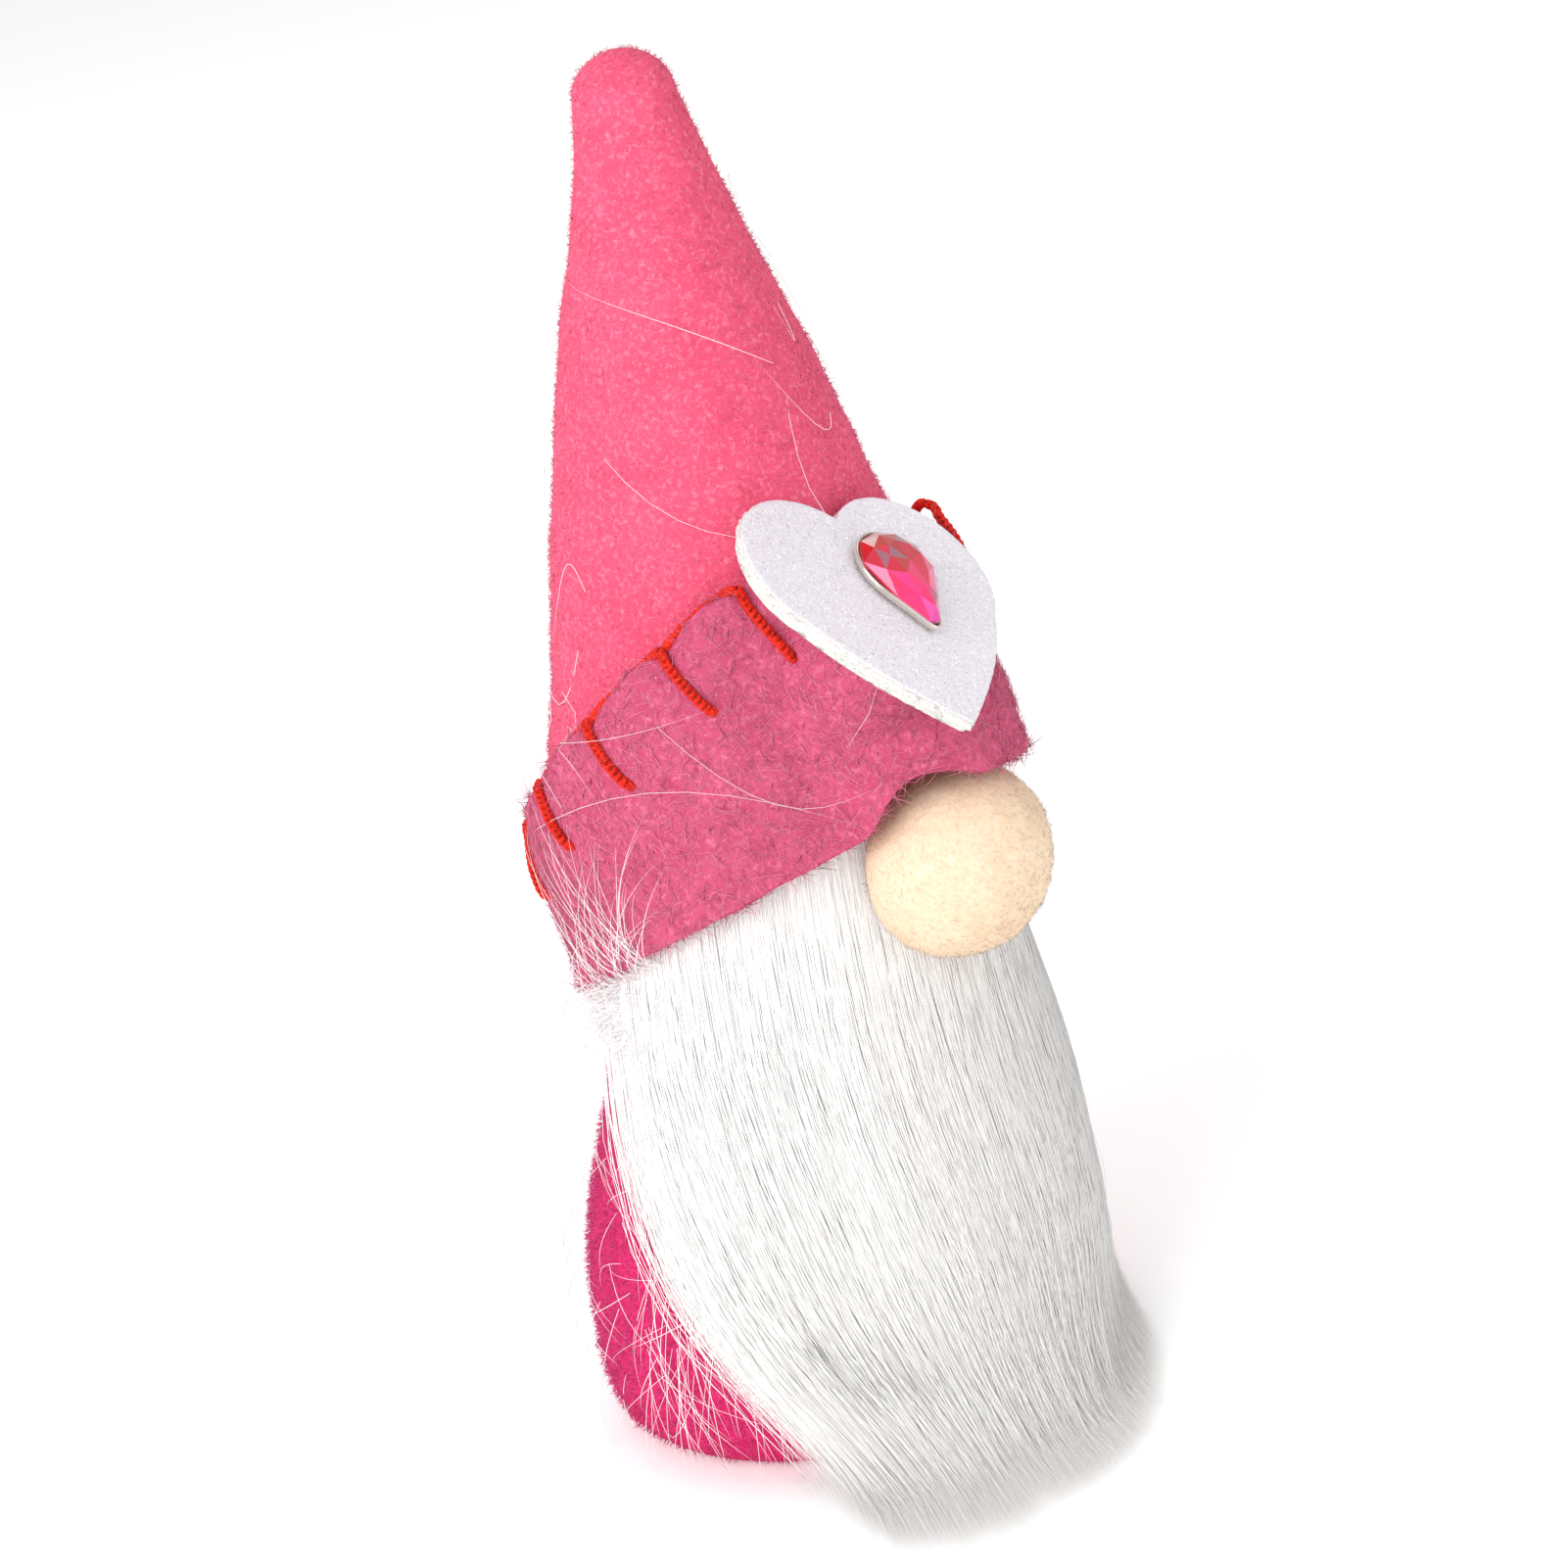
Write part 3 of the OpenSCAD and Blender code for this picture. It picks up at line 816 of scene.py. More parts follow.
def swell(obj, cap):
    """Blows the sewn sack up from inside for 20 frames, then moves each point by at most cap millimetres."""
    before = np.empty(len(obj.data.vertices) * 3, np.float32)
    obj.data.vertices.foreach_get("co", before)
    before = before.reshape(-1, 3).astype(float) / MM
    held = obj.vertex_groups.new(name="sewn")
    ring = np.nonzero((before[:, 2] < 1.2) | (before[:, 2] > GATHER_Z - 3))[0]
    held.add([int(k) for k in ring], 1.0, "REPLACE")
    mod = obj.modifiers.new("cloth", "CLOTH")
    mod.settings.use_pressure = True
    mod.settings.uniform_pressure_force = 4.0
    mod.settings.vertex_group_mass = "sewn"
    mod.settings.quality = 6
    mod.settings.effector_weights.gravity = 0.0
    mod.point_cache.frame_start, mod.point_cache.frame_end = 1, 20
    for f in range(1, 21):
        bpy.context.scene.frame_set(f)
    after_mesh = obj.evaluated_get(bpy.context.evaluated_depsgraph_get()).to_mesh()
    after = np.empty(len(after_mesh.vertices) * 3, np.float32)
    after_mesh.vertices.foreach_get("co", after)
    after = after.reshape(-1, 3).astype(float) / MM
    obj.to_mesh_clear()
    obj.modifiers.remove(mod)
    obj.vertex_groups.remove(held)
    bpy.context.scene.frame_set(1)
    move = after - before
    far = np.linalg.norm(move, axis=1, keepdims=True)
    move = np.where(np.isfinite(move), move, 0) * np.minimum(1, cap / np.maximum(far, 1e-6))
    new = before + move
    new[:, 2] = np.maximum(new[:, 2], 0.0)
    obj.data.vertices.foreach_set("co", (new * MM).astype(np.float32).ravel())
    obj.data.update()


def sew_body():
    """Profile from the middle of the base out to the seam, up the belly and in to the gathered neck, with
    soft unevenness and shallow gathers near the base seam."""
    corner = np.linspace(0, 1, 4)
    z = np.concatenate(
        [
            np.zeros(5), 0.4 + 0 * corner[:1], BELLY_Z * np.linspace(0.05, 1, 9) ** 1.3,
            np.linspace(BELLY_Z, GATHER_Z, 36)[1:]
        ]
    )
    r = np.concatenate([np.linspace(0, BASE_R - 1.2, 5), [BASE_R - 0.4], body_radius(z[6:]) - 0.5])
    r[-1] = 0.0

    def uneven(grid, phi):
        rad = np.hypot(grid[..., 0], grid[..., 1])[..., None]
        lift = 0.45 * ripple(grid, 26.0, 3) + 0.2 * ripple(grid, 11.0, 4)
        side = smooth(1, 9, grid[..., 2]) * smooth(GATHER_Z, GATHER_Z - 20, grid[..., 2])
        tuck = -0.35 * np.cos(30 * phi)[None, :] * smooth(0.1, 1.5, grid[..., 2]) * smooth(9, 2, grid[..., 2])
        out = grid / np.maximum(rad, 1e-6) * np.array([1, 1, 0])
        return grid + out * (lift * side + tuck)[..., None]


    points, quads, tris = revolved(r, z, 120, uneven)
    mesh = new_mesh("body_plush", points + lean(points[:, 2]), quads, tris)
    outward(mesh)
    body = piece(
        "body_plush", mesh, plush_cloth, ["body_sack", "base_disc", "base_seam_thread"]
    )
    swell(body, 0.8)
    return body


body_plush = sew_body()


# ---------------------------------------------------------------- hat


def sew_hat():
    """Outside profile from the rounded tip down the cone to the hem, round the hem and up again inside.
    The outside is uneven by half a millimetre, with one soft dent below the tip."""
    tip = np.linspace(0, 90, 9)
    top_z = HAT_TIP_Z - HAT_TIP_R
    out_z = np.concatenate([top_z + HAT_TIP_R * np.cos(deg(tip)), np.linspace(top_z, 62.0, 64)[1:]])
    out_r = np.concatenate(
        [(HAT_TIP_R + 0.3) * np.sin(deg(tip)), hat_radius(np.linspace(top_z, 62.0, 64))[1:]]
    )
    in_z = np.concatenate([np.linspace(62.0, 168.0, 30), [171.0]])
    in_r = np.concatenate([hat_radius(np.linspace(62.0, 168.0, 30)) - 1.3, [0.0]])

    def shape(grid, phi):
        z = grid[..., 2]
        rows = len(out_z) - 1
        outside = (np.arange(grid.shape[0]) < rows)[:, None]
        rad = np.hypot(grid[..., 0], grid[..., 1])[..., None]
        out = grid * np.array([1, 1, 0]) / np.maximum(rad, 1e-6)
        side = (phi[None, :] - deg(-22) + np.pi) % TAU - np.pi
        dent = -0.6 * np.exp(-(((z - 165.0 + 2.5 * side) / 4.0) ** 2) - (side / 0.9) ** 2)
        puff = 0.6 * np.exp(-(((z - 174) / 5) ** 2))
        lift = 0.5 * ripple(grid, 34.0, 11) + 0.18 * ripple(grid, 12.0, 12)
        seam = -0.5 * np.exp(-(((phi[None, :] - np.pi) * rad[..., 0] / 0.9) ** 2)) * smooth(176, 165, z)
        amount = np.where(outside, lift * smooth(62, 90, z) + dent + puff + seam, 0.0)
        grid = grid + out * amount[..., None]
        low = BRIM_LOW_Z + 1.2 - BRIM_LOW_K * grid[..., 1]
        grid[..., 2] = np.where(z < 100, low + (z - 62.0) / 38.0 * (100.0 - low), z)
        return np.where(outside[..., None], behind_heart(grid, 0.4), grid)

    points, quads, tris = revolved(np.concatenate([out_r, in_r]), np.concatenate([out_z, in_z]), 144, shape)
    mesh = new_mesh("hat_fleece", points, quads, tris)
    outward(mesh)
    hat = piece("hat_fleece", mesh, hat_fleece, ["hat_cone"])
    return hat


hat = sew_hat()


# ---------------------------------------------------------------- brim


def hood_gap(p):
    """Distance of points from the hood over the nose: the least distance from two leaning rods with round
    ends."""
    def rod(low, high, radius):
        low, high = np.array(low), np.array(high)
        run = high - low
        share = np.clip(((p - low) @ run) / (run @ run), 0, 1)
        return np.linalg.norm(p - low - share[..., None] * run, axis=-1) - radius

    puff = np.minimum(
        rod([0, -28.5, 79.0], [0, -25.0, 92.0], 15.0), rod([0, -25.0, 92.0], [0, -4.7, 118.0], 15.4)
    )
    pad = HEART_AT - (FOAM + 8.0) * heart_axes()[2]
    return np.minimum(puff, np.linalg.norm(p - pad, axis=-1) - 9.0)


def brim_outside(phi, z):
    """Radius of the brim's outside at angle phi and height z: going out from the band, the first place
    where a smooth minimum of the distances from the band and from the hood is zero, found by halving."""
    phi, z = np.broadcast_arrays(np.asarray(phi, float), np.asarray(z, float))
    low, high = band_radius(z), np.full(z.shape, 50.0)
    for _ in range(12):
        r = (low + high) / 2
        a, b = r - band_radius(z), hood_gap(around(phi, r, z))
        mix = np.clip(0.5 + 0.5 * (a - b) / 3.0, 0, 1)
        gap = a + (b - a) * mix - 3.0 * mix * (1 - mix)
        low, high = np.where(gap < 0, r, low), np.where(gap < 0, high, r)
    return low


def edge_height(phi):
    """Height of the brim's upper edge at angle phi, where the slanted plane meets the band, found by
    repeating; it sinks a little behind the heart."""
    z = np.full_like(np.asarray(phi, float), BRIM_TOP_Z)
    for _ in range(12):
        z = BRIM_TOP_Z + BRIM_TOP_K * band_radius(z) * np.cos(phi)
    return z - 7.0 * np.exp(-(((phi - deg(48)) / 0.45) ** 2))


def scallop(phi):
    """Rise of the edge between stitches: 0 at each stitch, 1 halfway, as the size of half a sine wave."""
    step = deg(360.0 / STITCHES)
    return np.abs(np.sin(np.pi * (phi - deg(FIRST_STITCH)) / step)) ** 0.8


def brim_low(phi):
    """Height of the lower edge: the slanted plane, raised where the felt would stand before the ball."""
    z = np.full_like(np.asarray(phi, float), BRIM_LOW_Z)
    for _ in range(10):
        z = BRIM_LOW_Z + BRIM_LOW_K * brim_outside(phi, z) * np.cos(phi)
    rise = np.arange(0, 16, 0.2)
    tries = z[None, :] + rise[:, None]
    outside = around(phi[None, :], brim_outside(phi[None, :], tries), tries) - NOSE_AT
    front = np.array([-0.629, -0.698, 0.342])
    away = np.linalg.norm(outside - (outside @ front)[..., None] * front, axis=-1) - NOSE_R + 2.0
    touch = np.linalg.norm(outside, axis=-1) - NOSE_R - 0.7
    blocked = ((away < 0) & (outside @ front > -3)) | (touch < 0)
    need = np.where(blocked.any(0), rise[::-1][np.argmax(blocked[::-1], axis=0)] + 0.1, 0.0)
    kernel = np.hanning(9) / np.hanning(9).sum()
    soft = np.convolve(np.concatenate([need[-4:], need, need[:4]]), kernel, "valid")
    return z + soft


def nose_reach(phi, z):
    """Where a level ray from the axis leaves the ball: R.e + sqrt(R^2 - distance^2), or 0 where it misses."""
    ahead, out = -NOSE_AT[1] * np.cos(phi), -NOSE_AT[1] * np.sin(phi)
    left = NOSE_R**2 - out**2 - (z - NOSE_AT[2]) ** 2
    return np.where((left > 0) & (np.cos(phi) > 0), ahead + np.sqrt(np.maximum(left, 0)), 0)


def sew_brim():
    """A felt strip FELT thick. Its section runs from the lower edge up the outside, over the rounded upper
    edge and down the inside; the upper edge rises between stitches."""
    turns = 384
    phi = np.arange(turns) * TAU / turns - np.pi
    low, top = brim_low(phi), edge_height(phi) + 0.2 + 1.5 * scallop(phi)
    up = np.linspace(0, 1, 34)[:, None]
    half = FELT / 2
    rows = []
    for s in up[:, 0]:
        z = low + 0.9 + (top - low - 2.2) * s
        r = brim_outside(phi, z)
        pinch = 0.75 * (1 - scallop(phi)) * smooth(0.72, 1.0, s)
        rows.append(around(phi, r - pinch, z))
    lip_r = brim_outside(phi, top - 1.3) - 0.75 * (1 - scallop(phi))
    for a in deg(np.linspace(0, 180, 9)[1:-1]):
        rows.append(around(phi, lip_r - half + half * np.cos(a), top - 1.3 + half * 1.1 * np.sin(a)))
    for s in up[::-3, 0]:
        z = low + 0.9 + (top - low - 2.2) * s
        r = brim_outside(phi, z) - FELT
        hat_side = hat_radius(z) + 0.15
        inner = r + (np.maximum(hat_side, r - 1.6) - r) * smooth(0.55, 1, s)
        rows.append(around(phi, np.minimum(np.maximum(inner, nose_reach(phi, z) + 0.1), r + FELT - 0.7), z))
    foot_r = brim_outside(phi, low + 0.9)
    for a in deg(np.linspace(180, 360, 7)[1:-1]):
        rows.append(around(phi, foot_r - half + half * np.cos(a), low + 0.9 + 0.8 * np.sin(a)))
    grid = np.stack(rows)
    rad = np.hypot(grid[..., 0], grid[..., 1])[..., None]
    out = grid * np.array([1, 1, 0]) / rad
    waviness = 0.35 * ripple(grid, 22.0, 21) + 0.15 * ripple(grid, 8.0, 22)
    grid = grid + out * waviness[..., None]
    grid[..., 2] += 0.25 * ripple(grid, 14.0, 23)
    depth = np.clip(
        (brim_outside(np.arctan2(grid[..., 0], -grid[..., 1]), grid[..., 2]) - rad[..., 0]) / FELT, 0, 1
    )
    grid = np.where((depth < 0.5)[..., None], behind_heart(grid, 0.25), behind_heart(grid, 0.25 + FELT))
    mesh = new_mesh(
        "brim_felt", grid.reshape(-1, 3), grid_faces(len(rows), turns, wrap_rows=True, wrap_cols=True)
    )
    outward(mesh)
    brim = piece("brim_felt", mesh, brim_felt, ["brim_band"])
    return brim


brim = sew_brim()


# ---------------------------------------------------------------- stitches


def twisted(path, radius, pitch):
    """Three plies round a path: each ply's middle is path + 0.5 r (cos t u + sin t v), t growing one turn
    per pitch."""
    path = np.asarray(path, float)
    step = np.linalg.norm(np.diff(path, axis=0), axis=1)
    run = np.concatenate([[0], np.cumsum(step)])
    n = max(8, int(run[-1] / 0.28))
    s = np.linspace(0, run[-1], n)
    mid = np.stack([np.interp(s, run, path[:, k]) for k in range(3)], -1)
    along = unit(np.gradient(mid, axis=0))
    u = unit(np.cross(along, unit(mid * np.array([1, 1, 0]))))
    v = np.cross(along, u)
    ends = np.minimum(1, np.minimum(s, run[-1] - s) / radius + 0.35)
    parts = []
    for ply in range(3):
        t = TAU * (s / pitch + ply / 3)
        line = mid + 0.5 * radius * (np.cos(t)[:, None] * u + np.sin(t)[:, None] * v) * ends[:, None]
        parts.append(tube(behind_heart(line, 0.9), 0.56 * radius * ends, 7))
    return joined(parts)


def stitch_line(a, reach):
    """Points of the leg that starts at angle a on the edge and runs reach millimetres down, square to the
    edge."""
    a = np.asarray([a])
    slope = ((edge_height(a + 0.02) - edge_height(a - 0.02)) / (0.04 * band_radius(edge_height(a))))[0]
    size = math.sqrt(1 + slope**2)
    s = np.linspace(0, reach, 14)
    z = edge_height(a)[0] - s / size
    phi = a[0] + s * slope / size / band_radius(edge_height(a))[0]
    return phi, z


def sew_stitches():
    """Blanket stitch: a leg down the outside at every place, and yarn along the upper edge between the
    places, dipping behind the felt halfway."""
    rng = np.random.default_rng(5)
    legs, runs = [], []
    step = 360.0 / STITCHES
    places = [FIRST_STITCH - k * step for k in range(STITCHES - UNDER_HEART)]
    for k, place in enumerate(places):
        phi, z = stitch_line(deg(place + rng.uniform(-0.8, 0.8)), 9.4 + rng.uniform(-0.6, 0.6))
        phi = phi + deg(2.0) * np.linspace(-0.45, 0.55, len(phi))
        out = brim_outside(phi, z) + 0.35 + ripple(around(phi, 30.0, z), 22.0, 21) * 0.35
        pinch = 0.75 * smooth(6, 0, np.linspace(0, 9, 14))
        lift = np.concatenate([[-0.4, 0.35], np.full(10, 0.3), [0.1, -1.3]])
        path = around(phi, out - pinch + lift, z)
        path[0, 2] += 0.9
        path[1, 2] += 0.6
        legs.append(twisted(path, YARN_R, 2.6))
    for a, b in zip(places[:-1], places[1:]):
        t = np.linspace(0, 1, 22)
        phi = deg(a + (b - a) * t)
        dip = np.sin(np.pi * t) ** 1.2
        top = edge_height(phi) + 0.2 + 1.5 * scallop(phi)
        r = brim_outside(phi, top - 1.3) - 0.75 * (1 - scallop(phi)) - 0.5 - 1.7 * dip
        z = top + 0.35 - 1.1 * dip
        r = np.maximum(r, hat_radius(z) + 0.5)
        runs.append(twisted(around(phi, r, z), YARN_R, 2.6))
    for name, parts, node in (
        ("stitch_legs_yarn", legs, "stitch_legs"), ("edge_yarn", runs, "stitch_edge_yarn")
    ):
        points, quads, tris = joined(parts)
        mesh = new_mesh(name, points, quads, tris)
        outward(mesh)
        piece(name, mesh, red_yarn, [node])


sew_stitches()


# ---------------------------------------------------------------- nose


def felt_ball():
    """Sphere of latitude rings round the -Y axis, uneven by a few tenths, flattened where it is glued on."""
    rows, turns = 40, 72
    lat = np.linspace(-90, 90, rows)
    r, h = (NOSE_R + 0.35) * np.cos(deg(lat)), (NOSE_R + 0.35) * np.sin(deg(lat))
    points, quads, tris = revolved(r, h, turns)
    points = np.stack([points[:, 0], -points[:, 2], points[:, 1]], -1)
    points = points * (1 + 0.016 * ripple(points, 12.0, 31) + 0.008 * ripple(points, 5.0, 32))[:, None]
    points[:, 1] = np.minimum(points[:, 1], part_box("nose_ball")[1][1] / MM - NOSE_AT[1])
    mesh = new_mesh("nose_felt", points + NOSE_AT, quads, tris)
    outward(mesh)
    ball = piece("nose_felt", mesh, ball_felt, ["nose_ball"])
    return ball


nose = felt_ball()


# ---------------------------------------------------------------- heart and stone


def heart_outline(count):
    """Right half from the cleft over the lobe (half circle) and down a slightly bowed side to a rounded
    tip; the left half is its mirror image."""
    side = HEART_SIDE
    lobe, half = side / (2 * math.sqrt(2)), side / 2
    a = deg(np.linspace(135, -45, count))
    arc = np.stack([lobe + half * np.cos(a), lobe + half * np.sin(a)], -1)
    s = np.linspace(0, 1, count)[1:]
    end, tip = arc[-1], np.array([0.0, -side / math.sqrt(2)])
    line = end + (tip - end) * s[:, None] + np.array([1, -1]) / math.sqrt(2) * (
        0.05 * side * np.sin(np.pi * s**0.8)
    )[:, None]
    right = np.concatenate([arc, line])
    left = right[::-1][1:-1] * [-1, 1]
    ring = np.concatenate([right, left])
    kernel = np.array([0.25, 0.5, 0.25])
    for _ in range(3):
        soft = kernel[0] * np.roll(ring, 1, 0) + kernel[1] * ring + kernel[2] * np.roll(ring, -1, 0)
        ring = np.where((np.abs(ring[:, :1]) < 3) & (ring[:, 1:] < 0), soft, ring)
    return ring


def cut_heart():
    """Polar surface: the outline scaled from the middle to the rim on the front, a small rounded rim, the
    rough cut side and the back. The glitter coat is the front part, the foam the rest."""
    ring = heart_outline(70)
    n = len(ring)

    def loop(scale, w, rough=0.0, seed=0):
        u, v = ring[:, 0] * scale, ring[:, 1] * scale
        shake = rough * ripple(np.stack([u, v, np.full(n, w * 4.0)], -1), 1.6, 41 + seed)
        far = np.maximum(np.hypot(u, v), 1e-6)
        u, v = u * (1 + shake / far), v * (1 + shake / far)
        u, v = turned(u, v, HEART_ROLL)
        return on_heart(u, v, w)

    def build(name, loops, material, node):
        grid = np.stack(loops)
        points = np.concatenate([grid.reshape(-1, 3), grid[0].mean(0)[None], grid[-1].mean(0)[None]])
        tris = np.concatenate(
            [
                fan(np.arange(n), len(loops) * n, True),
                fan(np.arange(n) + (len(loops) - 1) * n, len(loops) * n + 1)
            ]
        )
        mesh = new_mesh(name, points, grid_faces(len(loops), n, wrap_cols=True), tris)
        outward(mesh)
        return piece(name, mesh, material, [node])

    scales = [0.1, 0.3, 0.5, 0.7, 0.85, 0.93, 0.97]
    front = [loop(s, 0.0) for s in scales] + [
        loop(0.985, -0.05, 0.04, 1), loop(0.992, -0.16, 0.05, 2), loop(0.98, -0.3, 0.05, 3)
    ]
    back = [loop(s, -0.3) for s in (0.93, 0.6, 0.1)]
    glitter = build("heart_glitter_face", front + back, heart_glitter, "heart_glitter")
    sides = [loop(0.5, -0.32), loop(0.96, -0.32), loop(0.985, -0.42, 0.12, 4)]
    sides += [loop(1.0 - 0.012 * abs(k - 3), -0.42 - 0.27 * k, 0.3, 5 + k) for k in range(1, 7)]
    sides += [loop(0.97, -FOAM, 0.1, 12), loop(0.5, -FOAM), loop(0.1, -FOAM)]
    foam = build("heart_foam_body", sides, foam_edge, "heart_foam")
    return glitter


def drop_ring(length, width, n):
    """Drop outline: a circle of the width, and two sides tangent to it that meet in the point below."""
    r = width / 2
    reach = length - r
    t = np.arange(n) * TAU / n + np.pi / 2
    u, v = r * np.cos(t), r * np.sin(t)
    pull = smooth(0.0, -1.0, np.sin(t)) ** 1.15
    return u * (1 - 0.55 * pull), np.where(v < 0, v * (reach / r), v) * 1.0


def cut_stone():
    """Rings of facets: girdle, main crown and table, each ring turned half a facet, with flat triangles
    between them. Every triangle gets its own points and one hue number."""
    n = 9
    levels = [(1.0, 1.25, 0.0), (0.985, 1.6, 0.0), (0.78, 2.9, 0.5), (0.5, 3.55, 0.0)]
    rings = []
    for scale, w, half_turn in levels:
        u, v = drop_ring(GEM_LEN - 0.5, GEM_W - 0.4, n * 2)
        pick = (np.arange(n) * 2 + int(half_turn * 2)) % (n * 2)
        rings.append(np.stack([u[pick] * scale, (v[pick] + 0.6) * scale - 0.6, np.full(n, w)], -1))
    points = np.concatenate(rings + [np.array([[0, -0.6, 3.55]]), np.array([[0, -0.6, 1.25]])])
    i = np.arange(n)
    j = (i + 1) % n
    faces = [np.stack([i, j, n + j], -1), np.stack([i, n + j, n + i], -1)]
    faces += [np.stack([n + i, n + j, 2 * n + i], -1), np.stack([2 * n + i, n + j, 2 * n + j], -1)]
    faces += [
        np.stack([2 * n + i, 2 * n + j, 3 * n + j], -1), np.stack([2 * n + i, 3 * n + j, 3 * n + i], -1)
    ]
    faces += [
        np.stack([3 * n + i, 3 * n + j, np.full(n, 4 * n)], -1), np.stack([j, i, np.full(n, 4 * n + 1)], -1)
    ]
    tri = np.concatenate(faces)
    corners = points[tri].reshape(-1, 3)
    rng = np.random.default_rng(8)
    mid = points[tri].mean(1)
    hue = 0.42 + 0.02 * mid[:, 0] - 0.045 * (mid[:, 1] + 1.0) + rng.uniform(-0.16, 0.16, len(tri))
    hue = np.where(rng.random(len(tri)) < 0.12, 0.88, hue)
    u, v = turned(corners[:, 0], corners[:, 1] + (GEM_LEN - GEM_W) / 2, GEM_ROLL)
    placed = on_heart(u + GEM_AT[0], v + GEM_AT[1], corners[:, 2])
    mesh = new_mesh(
        "gem_drop", placed, None, np.arange(len(corners)).reshape(-1, 3), False,
        {"facet": np.repeat(np.clip(hue, 0, 1), 3)}
    )
    piece("gem_drop", mesh, drop_stone, ["gem_stone"])
    n = 48
    u, v = drop_ring(GEM_LEN, GEM_W, n)
    loops = []
    for scale, w in (
        (0.5, 0.3), (0.9, 0.3), (0.97, 0.45), (1.0, 0.9), (1.0, 1.3), (0.985, 1.45), (0.96, 1.45),
        (0.95, 1.2), (0.5, 1.2)
    ):
        a, b = turned(u * scale, (v + 0.6) * scale - 0.6 + (GEM_LEN - GEM_W) / 2, GEM_ROLL)
        loops.append(on_heart(a + GEM_AT[0], b + GEM_AT[1], w))
    grid = np.stack(loops)
    points = np.concatenate([grid.reshape(-1, 3), grid[0].mean(0)[None], grid[-1].mean(0)[None]])
    tris = np.concatenate(
        [
            fan(np.arange(n), len(loops) * n, True),
            fan(np.arange(n) + (len(loops) - 1) * n, len(loops) * n + 1)
        ]
    )
    mesh = new_mesh("gem_foil_cup", points, grid_faces(len(loops), n, wrap_cols=True), tris)
    outward(mesh)
    piece("gem_foil_cup", mesh, silver_foil, ["gem_foil"])


cut_heart()
cut_stone()


# ---------------------------------------------------------------- beard


def beard_side(z):
    """Angle of the beard's side at height z: it closes in from the ears down to the floor."""
    return deg(np.interp(z, [0, 5, 18, 35, 52, 66], [42, 48, 63, 78, 94, 99]))


def beard_depth(phi, z):
    """Share of the full hair depth: less low down on the gnome's left, where the hair lies close to the
    sack."""
    return 1 - 0.75 * smooth(0.1, 0.8, phi) * smooth(46, 22, z)


def blend_path(points, turns):
    """Evens a path out along its length with turns passes of a short average, its ends kept."""
    for _ in range(turns):
        soft = 0.25 * points[:, :-2] + 0.5 * points[:, 1:-1] + 0.25 * points[:, 2:]
        points = np.concatenate([points[:, :1], soft, points[:, -1:]], 1)
    return points


def floor_way(phi):
    """Direction in which the hair lies on the floor: mostly towards the gnome's right front, a little
    outwards."""
    way = deg(-35) + 0.22 * (phi - deg(-42))
    return np.stack([np.sin(way), -np.cos(way), 0 * way], -1)


